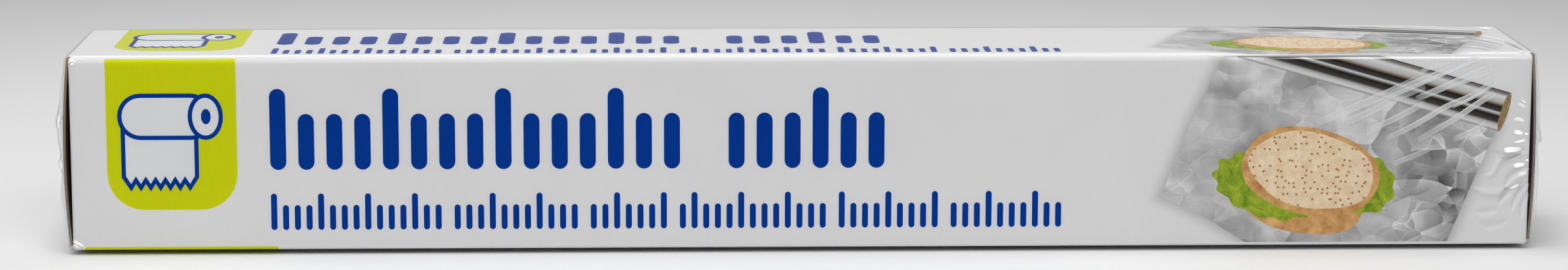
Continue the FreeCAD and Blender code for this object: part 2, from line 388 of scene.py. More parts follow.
print(f"the front's middle is {length_down(FRONT_START + PANEL_HEIGHT / 2):.1f} mm down its panel")

# %% Draw the blank and cut it up
left, right = -END_X + RIM_FOLD, END_X - RIM_FOLD
points, outlines, inks = [], [], []


def draw(ink, outline, start, lead):
    """Lays one outline on the blank, start millimetres along the walk."""
    first = len(points)
    points.extend(Vector((x - END_X, y + start - lead)) for x, y in outline[:: 1 if signed_area(outline) > 0 else -1])
    outlines.append(list(range(first, len(points))))
    inks.append(ink)


near, far = RIM_FOLD, 2 * END_X - RIM_FOLD
draw("white board", [(near, 0), (far, 0), (far, run[-1]), (near, run[-1])], 0, 0)
for start in (TOP_START, FRONT_START):
    for ink, outline in panel_design(FRONT_LEAD, PANEL_HEIGHT):
        draw(ink, outline, start, FRONT_LEAD)
across = BOTTOM_END - BOTTOM_START  # the lime tab runs on under the front's lower fold
draw("lime ink", [(2.6, -0.5), (41.9, -0.55), (41.9, across), (2.3, across), (2.3, 0.1)], BOTTOM_START, 0)
strips = []
for length in run[1:-1]:
    strips.append((len(points), len(points) + 1))
    points += [Vector((left, length)), Vector((right, length))]
INSIDE_ONLY, NEAREST = 1, 1e-4  # the cutter keeps the triangles in the outlines; points nearer than this are one
flat, _, facets, _, _, sources = delaunay_2d_cdt(points, strips, outlines, INSIDE_ONLY, NEAREST)
print(f"blank cut into {len(facets)} facets along {len(outlines)} outlines")

# %% Carry the blank into place
PICTURE_SIDE = 60.0  # the picture and its shadow lie right of this x
SHADOW_FOOT = 42.0
# Painted shade: the coat is greyed along the front's upper fold, to tone down the fold's highlight.
FOLD_PAINTED_SHADE = 0.55  # how grey the coat gets along the front's upper fold


def print_and_fold_shade(x, down, normal_y, normal_z):
    """How dark the white coat is: 1 beside the picture, fading to 0, for the printed shadow, and a little along the
    upper fold, as painted shade.
    """
    outside = SHADOW_WIDTH
    if x > PICTURE_SIDE and 0 < down < SHADOW_FOOT:
        outside = distance_outside((x + END_X, down), FOIL_SHEET)
    painted_fold_shade = 0.0
    if normal_y < 0 < normal_z:
        painted_fold_shade = FOLD_PAINTED_SHADE * math.sin(2 * math.atan2(max(normal_z, 0.0), -normal_y))
    return max(1 - outside / SHADOW_WIDTH, painted_fold_shade)


carton = Gathered()
folded, normals, places, shades = [], [], [], []
for x, length in flat:
    y, z, normal_y, normal_z = wrapped(length)
    down = length_down(length)
    folded.append((x, y, z))
    normals.append((0.0, normal_y, normal_z))
    places.append(((x + END_X) / PANEL_HEIGHT, down / PANEL_HEIGHT))
    shades.append(print_and_fold_shade(x, down, normal_y, normal_z))
inked = [inks[max(source)] for source in sources]
carton.add(folded, normals, facets, inked, places, shades)
print({ink: inked.count(ink) for ink in sorted(set(inked))})

# %% [markdown]
# ## The closed ends
# At each end the dust flaps turn in over a small fold, the inner flap comes up from the bottom, and the outer flap,
# hinged on the top panel, is glued down over them. Glue holds only its middle, so it bellies out and its raw upright
# edges stand a little off, with a dark slot behind. The rim is made of rings that shrink as they turn over the fold.
# The flaps are cut as boards with a printed side, a grey side and raw edges, because the raw edge is what shows.

# %% Rims and dust flaps
def closed_section(inset):
    """The section without the step of the glued seam, as (y, z, normal y, normal z)."""
    return section_stops(inset)[:-1]


RIM_STEPS = 4
RIM_DRAW = 0.95  # the share of its radius by which the rim draws in
for side in (-1, 1):
    rings, ring_normals = [], []
    for step in range(RIM_STEPS + 1):
        turn = math.pi / 2 * step / RIM_STEPS
        x = side * (END_X - RIM_FOLD + RIM_FOLD * math.sin(turn))
        for y, z, normal_y, normal_z in closed_section(RIM_FOLD * (1 - math.cos(turn)) * RIM_DRAW):
            rings.append((x, y, z))
            ring_normals.append((side * math.sin(turn), normal_y * math.cos(turn), normal_z * math.cos(turn)))
    count = len(rings) // (RIM_STEPS + 1)
    carton.add(rings, ring_normals, ring_facets(RIM_STEPS + 1, count), "white board")
    last = rings[-count:]
    carton.add(last, [(side, 0, 0)] * count, [tuple(range(count))], "white board")
# the raw lower edge of the back panel, over the seam
ledge = [(x, y, BASE_Z + SEAM_RISE) for x in (left, right) for y in (HALF_DEPTH - BOARD, HALF_DEPTH)]
carton.add(ledge, [(0, 0, -1)] * 4, [(0, 1, 3, 2)], "raw board edge")
print("points round a rim:", count)

# %% A board cut from a bent strip
def bent_board(side, line, half_width, thickness):
    """A flap that follows (x, z) points of its outer side, with raw edges all round."""
    count = len(line)
    ahead = [Vector(line[min(i + 1, count - 1)]) - Vector(line[max(i - 1, 0)]) for i in range(count)]
    normals = [Vector((-step.y, step.x)).normalized() for step in ahead]
    outer = [Vector(point) for point in line]
    inner = [point - normal * thickness for point, normal in zip(outer, normals)]
    for faces, sign, coat in ((outer, 1, "white board"), (inner, -1, "board reverse")):
        grid = [(side * p.x, y, p.y) for p in faces for y in (-half_width, half_width)]
        bent = [(side * sign * n.x, 0.0, sign * n.y) for n in normals for _ in range(2)]
        cells = [(2 * i, 2 * i + 1, 2 * i + 3, 2 * i + 2) for i in range(count - 1)]
        carton.add(grid, bent, cells, coat)
    for y in (-half_width, half_width):
        grid = [(side * p.x, y, p.y) for pair in zip(outer, inner) for p in pair]
        cells = [(2 * i, 2 * i + 2, 2 * i + 3, 2 * i + 1) for i in range(count - 1)]
        carton.add(grid, [(0, math.copysign(1, y), 0)] * len(grid), cells, "raw board edge")
    foot = [(side * p.x, y, p.y) for p in (outer[-1], inner[-1]) for y in (-half_width, half_width)]
    carton.add(foot, [(0, 0, -1)] * 4, [(0, 1, 3, 2)], "raw board edge")


print("facets of the carton without its flaps:", len(carton.facets))

# %% Outer and inner end flaps
FLAP_FOLD = 0.7  # radius of the outer flap's hinge
FLAP_INSET = 0.8  # how much narrower than the carton the outer flap is, on each side
FLAP_FOOT = BASE_Z + 0.9
FLAP_STEPS = 16
FOOT_STAND = 0.15  # how far the free foot stands off
BOWS = {-1: 1.0, 1: 0.75}  # how far each outer flap bellies out
INNER_LINE = ((0.28, 27.0), (0.3, 14.0), (0.28, 1.0))  # the inner flap: past the end, above the folds' underside
INNER_INSET = 3.0
INNER_BOARD = 0.3


def flap_line(bow):
    """Outer side of the outer flap, from the top panel over the hinge and down its belly to the free foot."""
    outer_x = END_X + BOARD
    line = [(END_X - RIM_FOLD, TOP_Z)]
    for step in range(FOLD_STEPS + 1):
        turn = math.pi / 2 * step / FOLD_STEPS
        line.append((outer_x - FLAP_FOLD * (1 - math.sin(turn)), TOP_Z - FLAP_FOLD * (1 - math.cos(turn))))
    hinge = TOP_Z - FLAP_FOLD
    for step in range(1, FLAP_STEPS + 1):
        share = step / FLAP_STEPS
        x = outer_x + FOOT_STAND * share + bow * 4 * share * (1 - share)
        line.append((x, hinge + (FLAP_FOOT - hinge) * share))
    return line


for side, bow in BOWS.items():
    bent_board(side, flap_line(bow), HALF_DEPTH - FLAP_INSET, BOARD)
    inner_line = [(END_X + past, BASE_Z + height) for past, height in INNER_LINE]
    bent_board(side, inner_line, HALF_DEPTH - INNER_INSET, INNER_BOARD)
print("end flaps bow out", BOWS, "mm")

# %% [markdown]
# ## Nodes by code
# A finish is a small net of nodes: places on the object go into textures, these into colours and heights, and those
# into the shader. It can be clicked together in the shader editor. In code a few short helpers do the same, each
# for one kind of node, so that a finish further down reads as what is mixed with what.

# %% Small helpers for materials
def finish(name):
    """A new material and its Principled shader."""
    material = bpy.data.materials.new(name)
    material.use_nodes = True
    return material, material.node_tree.nodes["Principled BSDF"]


def fill(tree, made, feeds):
    """Sets numbers, colours and vectors on a node's sockets, and links other nodes' outputs to them."""
    for socket, value in feeds.items():
        if isinstance(value, bpy.types.NodeSocket):
            tree.links.new(value, made.inputs[socket])
        else:
            made.inputs[socket].default_value = value


def node(tree, kind, feeds=None, **settings):
    """A node of a kind, with its plain settings and what goes into its sockets."""
    made = tree.nodes.new(kind)
    for key, value in settings.items():
        setattr(made, key, value)
    fill(tree, made, feeds or {})
    return made


def arithmetic(tree, operation, *values):
    """The result of a Math node. Each value is a number or another node's output."""
    return node(tree, "ShaderNodeMath", dict(enumerate(values)), operation=operation).outputs[0]


def vector_math(tree, operation, *values):
    """The result of a Vector Math node: a number for a length or a dot product, and else a vector."""
    made = node(tree, "ShaderNodeVectorMath", dict(enumerate(values)), operation=operation)
    return made.outputs["Value" if operation in ("LENGTH", "DOT_PRODUCT") else "Vector"]


def dimmed(tree, color, share):
    """A colour times a number."""
    return node(tree, "ShaderNodeVectorMath", {0: color, "Scale": share}, operation="SCALE").outputs[0]


def between(tree, share, low, high):
    """A colour between two others. Each may be a colour or another node's output."""
    low, high = ((*color, 1.0) if isinstance(color, tuple) else color for color in (low, high))
    made = node(tree, "ShaderNodeMix", {"Factor": share, 6: low, 7: high}, data_type="RGBA", clamp_factor=True)
    return made.outputs[2]


def eased(tree, value, start, end, low=0.0, high=1.0):
    """A value that goes smoothly from low to high while the given one goes from start to end."""
    feeds = {"Value": value, "From Min": start, "From Max": end, "To Min": low, "To Max": high}
    return node(tree, "ShaderNodeMapRange", feeds, interpolation_type="SMOOTHSTEP").outputs["Result"]


print("materials before the first finish:", len(bpy.data.materials))

# %% Small helpers for textures
def noise(tree, vector, scale, detail=3.0, roughness=0.5, distortion=0.0):
    """A Noise texture's grey value."""
    feeds = {"Vector": vector, "Scale": scale, "Detail": detail, "Roughness": roughness, "Distortion": distortion}
    return node(tree, "ShaderNodeTexNoise", feeds).outputs["Fac"]


def voronoi(tree, vector, scale, feature="F1", dimensions="2D"):
    """The outputs of a Voronoi texture."""
    feeds = {"Vector": vector, "Scale": scale}
    return node(tree, "ShaderNodeTexVoronoi", feeds, feature=feature, voronoi_dimensions=dimensions).outputs


def mapped(tree, vector, scale, degrees=0.0, location=(0.0, 0.0, 0.0)):
    """A vector scaled along each axis, turned round the third one and moved."""
    feeds = {"Vector": vector, "Scale": scale, "Rotation": (0.0, 0.0, math.radians(degrees)), "Location": location}
    return node(tree, "ShaderNodeMapping", feeds).outputs[0]


def bumped(tree, height, strength, distance):
    """A normal tilted as if the surface had that height."""
    return node(tree, "ShaderNodeBump", {"Height": height, "Strength": strength, "Distance": distance}).outputs[0]


def object_place(tree):
    """Places on the object, in metres."""
    return node(tree, "ShaderNodeTexCoord").outputs["Object"]


VECTOR, COLOR, NUMBER = "NodeSocketVector", "NodeSocketColor", "NodeSocketFloat"


def new_group(name, inputs, outputs):
    """A node group with named inputs (name, kind, default) and outputs (name, kind), and its two end nodes."""
    group = bpy.data.node_groups.new(name, "ShaderNodeTree")
    for label, kind, default in inputs:
        socket = group.interface.new_socket(name=label, in_out="INPUT", socket_type=kind)
        if default is not None:
            socket.default_value = default
    for label, kind in outputs:
        group.interface.new_socket(name=label, in_out="OUTPUT", socket_type=kind)
    return group, group.nodes.new("NodeGroupInput").outputs, group.nodes.new("NodeGroupOutput")


print("kinds of sockets on the groups:", VECTOR, COLOR, NUMBER)

# %% [markdown]
# ## Coated board under ink
# Carton board is pulp with a thin white clay coat. Close up the white isn't even: the coat is mottled, fibres
# show as faint upright streaks, and there are specks. The same board carries every ink, so this unevenness is one
# node group that every printed finish uses with its own strength, instead of being built again in each of them.

# %% Mottled board, as a node group
board_group, given, out = new_group(
    "board mottle",
    [("Vector", VECTOR, None), ("Color", COLOR, (0.8, 0.8, 0.8, 1.0)), ("Strength", NUMBER, 1.0)],
    [("Color", COLOR), ("Height", NUMBER)],
)
MEAN_MOTTLE = 0.525  # the mean of the three noises below, so that the colour keeps its lightness
clouds = noise(board_group, given["Vector"], 45.0, 4.0)
fibres = noise(board_group, mapped(board_group, given["Vector"], (1400.0, 1400.0, 120.0)), 1.0, 2.0)
grain = noise(board_group, given["Vector"], 2600.0, 2.0)
uneven = arithmetic(board_group, "MULTIPLY_ADD", fibres, 0.3, arithmetic(board_group, "MULTIPLY", grain, 0.25))
uneven = arithmetic(board_group, "MULTIPLY_ADD", clouds, 0.5, uneven)
specks = voronoi(board_group, given["Vector"], 130.0, dimensions="3D")
rare = arithmetic(board_group, "GREATER_THAN", specks["Color"], 0.86)
dot = arithmetic(board_group, "LESS_THAN", specks["Distance"], 0.022)
speck = arithmetic(board_group, "MULTIPLY", arithmetic(board_group, "MULTIPLY", rare, dot), 0.45)
lightness = arithmetic(board_group, "SUBTRACT", uneven, MEAN_MOTTLE)
lightness = arithmetic(board_group, "MULTIPLY_ADD", lightness, given["Strength"], 1.0)
lightness = arithmetic(board_group, "SUBTRACT", lightness, speck)
fill(board_group, out, {"Color": dimmed(board_group, given["Color"], lightness), "Height": uneven})
print(board_group.name, "group:", len(board_group.nodes), "nodes")

# %% Ink on board
DENT_DEPTH = 0.0004  # metres


def printed(name, color, roughness=0.42, strength=0.16, bump=0.04, gloss=0.1, prepare=None):
    """A finish of ink on coated board. Prepare may return a node output to use in place of the plain colour."""
    material, shader = finish(name)
    tree = material.node_tree
    feeds = {"Vector": object_place(tree), "Color": (*color, 1.0), "Strength": strength}
    board = node(tree, "ShaderNodeGroup", feeds, node_tree=board_group)
    if prepare:
        fill(tree, board, {"Color": prepare(tree)})
    fill(tree, shader, {"Base Color": board.outputs["Color"], "Roughness": roughness, "Specular IOR Level": gloss})
    fill(tree, shader, {"Normal": bumped(tree, board.outputs["Height"], bump, DENT_DEPTH)})
    return material


plain_finishes = {
    "sign white": printed("sign white", (0.82, 0.83, 0.84), 0.4, 0.08),
    "lime ink": printed("lime ink", (0.68, 0.73, 0.001), 0.38, 0.2),
    "navy ink": printed("navy ink", (0.0013, 0.048, 0.34), 0.36, 0.3, gloss=0.02),
    "board reverse": printed("board reverse", (0.16, 0.135, 0.115), 0.85, 0.5, 0.2),
}
print("plain finishes:", ", ".join(plain_finishes))

# %% [markdown]
# ## Inks and the printed picture
# The picture is printed in halftone, so its greys and browns carry a fine screen of dots. Foil creased by hand is a
# patchwork of small flat facets that each catch the light in another way: each cell of a Voronoi texture is given its
# own slope, the value falls across it along that slope, and the distance to the cell's edge gives the bright ridges
# between facets. That is far cheaper than folding a mesh that would only be printed on the board anyway.

# %% Halftone screen, as a node group
DOTS = 600.0  # waves of the screen over 40 mm, times two pi
screen_group, given, out = new_group(
    "halftone screen",
    [("Vector", VECTOR, None), ("Color", COLOR, (0.5, 0.5, 0.5, 1.0)), ("Strength", NUMBER, 0.2)],
    [("Color", COLOR)],
)
turned = mapped(screen_group, given["Vector"], (DOTS, DOTS, 1.0), 45)
parts = node(screen_group, "ShaderNodeSeparateXYZ", {0: turned})
waves = [arithmetic(screen_group, "SINE", parts.outputs[axis]) for axis in ("X", "Y")]
dots = arithmetic(screen_group, "MULTIPLY", *waves)
depth = arithmetic(screen_group, "MULTIPLY_ADD", dots, given["Strength"], 1.0)
fill(screen_group, out, {"Color": dimmed(screen_group, given["Color"], depth)})
print(screen_group.name, "group:", len(screen_group.nodes), "nodes")

# %% Creased foil, as a node group
crease_group, given, out = new_group(
    "creased facets",
    [("Vector", VECTOR, None), ("Scale", NUMBER, 5.0), ("Slope", NUMBER, 1.0)],
    [("Value", NUMBER), ("Edge", NUMBER)],
)
bend = node(crease_group, "ShaderNodeTexNoise", {"Vector": given["Vector"], "Scale": 2.2, "Detail": 3.0})
shift = vector_math(crease_group, "MULTIPLY_ADD", bend.outputs["Color"], (0.28, 0.28, 0.0), given["Vector"])
cells = voronoi(crease_group, shift, given["Scale"])
edges = voronoi(crease_group, shift, given["Scale"], "DISTANCE_TO_EDGE")
away = vector_math(crease_group, "SUBTRACT", shift, cells["Position"])
lean = vector_math(crease_group, "SUBTRACT", cells["Color"], (0.5, 0.5, 0.5))
slope = arithmetic(crease_group, "MULTIPLY", vector_math(crease_group, "DOT_PRODUCT", away, lean), given["Scale"])
slope = arithmetic(crease_group, "MULTIPLY", slope, given["Slope"])
level = node(crease_group, "ShaderNodeSeparateXYZ", {0: lean}).outputs["Z"]
value = arithmetic(crease_group, "ADD", arithmetic(crease_group, "MULTIPLY_ADD", level, 0.7, 0.5), slope)
fill(crease_group, out, {"Value": value, "Edge": edges["Distance"]})
print(crease_group.name, "group:", len(crease_group.nodes), "nodes")

# %% Helpers for printed colours
def ramp(tree, value, stops_and_colors):
    """A colour ramp over a value."""
    made = node(tree, "ShaderNodeValToRGB", {"Fac": value})
    elements = made.color_ramp.elements
    while len(elements) < len(stops_and_colors):
        elements.new(0.5)
    for element, (place, color) in zip(elements, stops_and_colors):
        element.position = place
        element.color = (*color, 1.0)
    return made.outputs["Color"]


def panel_vector(tree):
    """Places on the panel, where 1 is 40 mm."""
    return node(tree, "ShaderNodeUVMap", uv_map="panel").outputs["UV"]


def screened(tree, color, strength=0.14):
    """A colour broken up by the halftone screen."""
    feeds = {"Vector": panel_vector(tree), "Color": color, "Strength": strength}
    return node(tree, "ShaderNodeGroup", feeds, node_tree=screen_group).outputs["Color"]


def creases(tree, vector, scale, slope):
    """The creased facets at one scale: their value and the distance to their edges."""
    feeds = {"Vector": vector, "Scale": scale, "Slope": slope}
    made = node(tree, "ShaderNodeGroup", feeds, node_tree=crease_group)
    return made.outputs["Value"], made.outputs["Edge"]


def cut_off(tree, value, factor, shift):
    """A value times a factor plus a shift, and never below 0."""
    return arithmetic(tree, "MAXIMUM", arithmetic(tree, "MULTIPLY_ADD", value, factor, shift), 0.0)


print("panel places: 1 is", PANEL_HEIGHT, "mm")

# %% The foil in the picture
FOIL_GREYS = [
    (0.08, (0.11, 0.105, 0.11)),
    (0.36, (0.34, 0.335, 0.34)),
    (0.64, (0.58, 0.575, 0.58)),
    (0.95, (0.88, 0.88, 0.88)),
]


def foil_picture(tree):
    """Creased foil in greys: wide soft waves everywhere, and sharp small facets towards the lower right."""
    vector = panel_vector(tree)
    # the ingredients: three noises, and facets of three sizes, of which the small ones are slanted
    waves = noise(tree, vector, 2.6, 2.0, 0.5, 0.6)
    wrinkles = noise(tree, vector, 9.0, 3.0, 0.55, 0.5)
    patches = noise(tree, vector, 3.4, 1.0, 0.5, 0.3)
    wide, _ = creases(tree, vector, 2.4, 1.3)
    small, edge = creases(tree, mapped(tree, vector, (1.0, 1.9, 1.0), -38), 5.2, 1.6)
    tiny, tiny_edge = creases(tree, vector, 11.0, 1.6)
    # a soft look of waves and wide facets, and a sharp one of small and tiny facets
    soft = arithmetic(tree, "MULTIPLY_ADD", waves, 1.25, arithmetic(tree, "MULTIPLY_ADD", wrinkles, 0.4, -0.36))
    soft = arithmetic(tree, "MULTIPLY_ADD", wide, 0.42, soft)
    sharp = arithmetic(tree, "MULTIPLY_ADD", small, 0.6, arithmetic(tree, "MULTIPLY_ADD", tiny, 0.42, -0.2))
    sharp = arithmetic(tree, "MULTIPLY_ADD", soft, 0.38, sharp)
    # the sharp look takes over towards the lower right
    towards = vector_math(tree, "DOT_PRODUCT", vector, (0.8, 0.6, 0.0))
    reach = eased(tree, towards, 5.6, 6.2, 0.22, 0.85)
    mixed = node(tree, "ShaderNodeMix", {"Factor": reach, 2: soft, 3: sharp}, data_type="FLOAT")
    # bright ridges along the facets' edges, in some patches only
    ridge = arithmetic(tree, "MAXIMUM", cut_off(tree, edge, -20.0, 1.0), cut_off(tree, tiny_edge, -14.0, 0.7))
    chosen = arithmetic(tree, "MINIMUM", cut_off(tree, patches, 6.0, -2.9), 1.0)
    ridge = arithmetic(tree, "MULTIPLY", ridge, arithmetic(tree, "MULTIPLY", chosen, reach))
    both = arithmetic(tree, "MULTIPLY_ADD", ridge, 0.42, mixed.outputs[0])
    return screened(tree, ramp(tree, both, FOIL_GREYS))


print("greys in the foil:", len(FOIL_GREYS))

# %% The roll, bread and leaves in the picture
BLACK, DARK, GREY, PALE, WHITE = (0.012,) * 3, (0.07, 0.065, 0.06), (0.3, 0.29, 0.28), (0.55,) * 3, (0.8,) * 3
BROWN = (0.24, 0.17, 0.09)
ROLL_BANDS = [
    (0.0, DARK), (0.08, GREY), (0.14, WHITE), (0.3, PALE), (0.36, BROWN), (0.4, BLACK), (0.52, DARK),
    (0.56, WHITE), (0.6, GREY), (0.64, BLACK), (0.78, DARK), (0.84, PALE), (0.93, WHITE), (1.0, GREY),
]
PORE = (0.42, 0.24, 0.11)


def roll_picture(tree):
    """The roll's bright and dark reflections, which run along it."""
    along = (Vector(ROLL_END) - Vector(ROLL_START)).normalized()
    down = Vector((-along.y, along.x))
    scale = (down.x * PANEL_HEIGHT / ROLL_WIDTH, down.y * PANEL_HEIGHT / ROLL_WIDTH, 0.0)
    across = vector_math(tree, "DOT_PRODUCT", panel_vector(tree), scale)
    share = arithmetic(tree, "SUBTRACT", across, Vector(ROLL_START).dot(down) / ROLL_WIDTH - 0.5)
    return screened(tree, ramp(tree, share, ROLL_BANDS), 0.2)


def blotched(low, high, scale, detail=4.0, distortion=0.0, pores=None):
    """A way to prepare a colour that wanders between two, with dark pores if asked."""

    def prepare(tree):
        vector = panel_vector(tree)
        share = noise(tree, vector, scale, detail, 0.6, distortion)
        color = between(tree, arithmetic(tree, "MULTIPLY_ADD", share, 2.2, -0.6), low, high)
        if pores:
            holes = voronoi(tree, vector, pores)
            hole = arithmetic(tree, "LESS_THAN", holes["Distance"], 0.2)
            hole = arithmetic(tree, "MULTIPLY", hole, arithmetic(tree, "GREATER_THAN", holes["Color"], 0.52))
            color = between(tree, hole, color, PORE)
        return screened(tree, color, 0.08)

    return prepare


crust = blotched((0.5, 0.22, 0.06), (0.88, 0.58, 0.26), 14.0, 5.0)
crumb = blotched((0.8, 0.6, 0.38), (0.97, 0.84, 0.64), 22.0, 5.0, 0.6, pores=34.0)
leaf = blotched((0.12, 0.27, 0.01), (0.55, 0.62, 0.06), 12.0, 4.0, 1.5)
core = blotched((0.2, 0.13, 0.06), (0.5, 0.38, 0.2), 60.0)
picture_finishes = {
    "foil print": printed("foil print", (0.4, 0.4, 0.4), 0.4, 0.12, prepare=foil_picture),
    "roll print": printed("roll print", (0.3, 0.3, 0.3), 0.4, 0.12, prepare=roll_picture),
    "core print": printed("core print", (0.3, 0.2, 0.1), 0.45, 0.2, prepare=core),
    "crust print": printed("crust print", (0.6, 0.3, 0.1), 0.42, 0.2, prepare=crust),
    "crumb print": printed("crumb print", (0.75, 0.6, 0.42), 0.42, 0.15, prepare=crumb),
    "leaf print": printed("leaf print", (0.3, 0.45, 0.03), 0.4, 0.2, prepare=leaf),
}
print("finishes in the picture:", ", ".join(picture_finishes))

# %% [markdown]
# ## White coat and raw edges
# The white board is printed too: a soft grey shadow lies round the picture. How near a point is to the picture was kept
# on the mesh, and the finish turns it into grey. The same value greys the front's upper fold a little, as painted
# shade. Where the board was cut, its grey and brown layers of pulp show. They are noise squeezed flat, rough and
# without a coat. Both are plain finishes without a group of their own.

# %% White coat and raw edges
WHITE_COAT, SHADOW_GREY = (0.83, 0.83, 0.833), (0.5, 0.5, 0.51)
PULP_DARK, PULP_LIGHT = (0.1, 0.075, 0.055), (0.46, 0.37, 0.29)
PULP_DEPTH = 0.0002  # metres


def shaded_white(tree):
    """The white coat, with the printed soft shadow round the picture and painted shade along the upper fold."""
    shadow = node(tree, "ShaderNodeAttribute", attribute_name="print_and_fold_shade").outputs["Fac"]
    shadow = arithmetic(tree, "MULTIPLY", arithmetic(tree, "POWER", shadow, 1.8), 0.75)
    return between(tree, shadow, WHITE_COAT, SHADOW_GREY)


white_board = printed("white board", (0.8, 0.8, 0.805), 0.45, 0.1, prepare=shaded_white)
raw_edge, shader = finish("raw board edge")
tree = raw_edge.node_tree
layers = noise(tree, mapped(tree, object_place(tree), (9000.0, 900.0, 260.0)), 1.0, 3.0)
fill(tree, shader, {"Base Color": between(tree, layers, PULP_DARK, PULP_LIGHT), "Roughness": 0.9})
fill(tree, shader, {"Normal": bumped(tree, layers, 0.5, PULP_DEPTH)})
carton_finishes = {"white board": white_board, **plain_finishes, **picture_finishes, "raw board edge": raw_edge}
print("finishes on the carton:", ", ".join(carton_finishes))

# %% [markdown]
# ## The carton as one piece
# The blank is one sheet of board, so its panels, rims and flaps become one mesh with a material for each finish. They
# could be separate objects, but then each fold would be a seam.

# %% Make the carton
carton_piece = carton.make("folded_carton", carton_finishes, "print_and_fold_shade")
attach(carton_piece, "root")
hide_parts("carton")

# %% [markdown]
# ## Shrink film
# The film is a sleeve that was slipped over the carton, cut and sealed at both ends, and shrunk in hot air until
# it was tight. Over the panels it lies flat. At the ends it has to close from the whole rim to one short seal, so
# it tents out and gathers in pleats. A cloth simulation would find such pleats by itself, but slowly and never where
# the real ones are. Rings of points drawn from the rim to the seal, lifted where a pleat is, give the same shape in
# no time.

# %% Rings round the film
FILM_OFF = 0.2  # how far the film's outer side lies off the board
SIDE_STEPS = 28  # points along each side of the outline
FILM_FOLD_STEPS = 7  # and round each fold
FILM_REACH = 2.6  # how far the seal stands out past the end
SEAL_FIN = 0.6  # width of the trimmed fin beyond the seal
SEAL_LEVEL = {-1: BASE_Z + 26.3, 1: BASE_Z + 21.8}  # height of each end's seal


def quarter(half, rise, radius, start):
    """Points of a centred outline, from height start on the front to the middle of the top."""
    steps = SIDE_STEPS // 2
    side = rise - radius - start
    line = [(-half, start + side * step / steps) for step in range(steps)]
    for step in range(FILM_FOLD_STEPS):
        turn = math.pi / 2 * step / FILM_FOLD_STEPS
        line.append((-half + radius * (1 - math.cos(turn)), rise - radius * (1 - math.sin(turn))))
    return line + [(-(half - radius) * (1 - step / steps), rise) for step in range(steps)]


def belly_drop(y):
    """How far the bottom panel has bellied down at y."""
    inside = (HALF_DEPTH - BOTTOM_FOLD - abs(y)) / (HALF_DEPTH - BOTTOM_FOLD - BELLY_FLAT)
    return BELLY * min(max(inside, 0.0), 1.0)


def film_outline(inset, level):
    """(y, z) points round the film, drawn in by inset, from a level on the front and over the top."""
    grow = FILM_OFF - inset
    half = HALF_DEPTH + grow
    rise = (TOP_Z - BASE_Z) / 2 + grow
    middle = (TOP_Z + BASE_Z) / 2
    over = quarter(half, rise, max(TOP_FOLD + grow, 0.1), level - middle)
    under = quarter(half, rise, max(BOTTOM_FOLD + grow, 0.1), middle - level)
    upper = over + [(0.0, rise)] + [(-y, z) for y, z in reversed(over)]
    lower = under + [(0.0, rise)] + [(-y, z) for y, z in reversed(under)]
    lower = [(y, -z - belly_drop(y)) for y, z in reversed(lower[1:-1])]
    return [(y, middle + z) for y, z in upper + lower]


ROUND = len(film_outline(0.0, SEAL_LEVEL[1]))
print("points round the film:", ROUND)


# %% Pleats and the gathered seal
LAYER_GAP = 0.05  # of the upper and the lower film from the seal's level
DEEP_PLEATS, FINE_PLEATS = 13, 31  # round each end


def seal_place(index, level):
    """(y, z) on the end seal where point index of the outline is gathered."""
    half_round = ROUND // 2
    steps = min(index, ROUND - index)
    gusset = SIDE_STEPS // 2 + FILM_FOLD_STEPS / 2
    half_seal = HALF_DEPTH - 1.0
    gather = 5.0  # how far in from the seal's end the corner of the outline is gathered
    from_end = min(steps, half_round - steps)
    if from_end <= gusset:
        reach = half_seal - gather * from_end / gusset
    else:
        reach = (half_seal - gather) * (half_round / 2 - from_end) / (half_round / 2 - gusset)
    y = -reach if steps < half_round / 2 else reach
    above = 0 if index in (0, half_round) else (1 if index < half_round else -1)
    return y, level + above * LAYER_GAP


def pleat(index, side):
    """Height of the pleats at a point of the outline, from 0 to 1: deep and shallow ones take turns."""
    turn = 2 * math.pi * index / ROUND + side
    deep = 0.5 + 0.5 * math.sin(DEEP_PLEATS * turn + 1.4 * math.sin(3 * turn))
    fine = 0.5 + 0.5 * math.sin(FINE_PLEATS * turn + 2.0 * math.sin(5 * turn))
    return 0.65 * deep + 0.35 * fine


def flap_belly(z, bow):
    """How far the flap under the film bellies out at height z."""
    share = (z - BASE_Z) / (TOP_Z - BASE_Z)
    return bow * max(4 * share * (1 - share), 0.0)


print("pleats at the left end reach", round(max(pleat(index, -1) for index in range(ROUND)), 2), "of their full height")

# %% The film's stand-off near the front
# how far the film stands out from the carton's end near the front, at heights above the folds' underside
STAND_OUT = {
    -1: ((0.0, 0.9), (1.5, 1.0), (5.0, 1.7), (11.5, 2.2), (15.6, 1.8), (18.0, 2.4), (20.0, 2.0), (22.0, 2.3),
         (24.8, 2.5), (26.0, 2.7), (27.3, 2.7), (30.0, 2.06), (34.5, 1.45), (37.0, 0.95), (40.0, 0.6)),
    1: ((0.0, 0.9), (2.0, 1.4), (5.4, 1.66), (10.3, 1.77), (15.2, 1.9), (20.5, 1.6), (21.8, 2.3), (23.0, 2.1),
        (26.3, 1.7), (30.3, 1.75), (32.9, 1.5), (36.8, 1.1), (40.0, 0.7)),
}


def stand_out(side, height):
    """How far the film stands out from the end at a height above the long folds' underside."""
    heights, reaches = zip(*STAND_OUT[side])
    return float(np.interp(height, heights, reaches))


for side, knots in STAND_OUT.items():
    print(f"end {side}: the film stands out by up to {max(reach for _, reach in knots)} mm near the front")

# %% Rings of the closed ends
TENT_SHARES = (0.05, 0.12, 0.2, 0.3, 0.4, 0.5, 0.6, 0.7, 0.8, 0.9, 1.0)  # where the rings lie, from rim to seal
PLEAT_HEIGHT = 0.34
SAG = 0.25  # slow waves under the pleats
FRONT_ZONE = (14.0, 18.0)  # from here to there, towards the front, the measured stand-off takes over


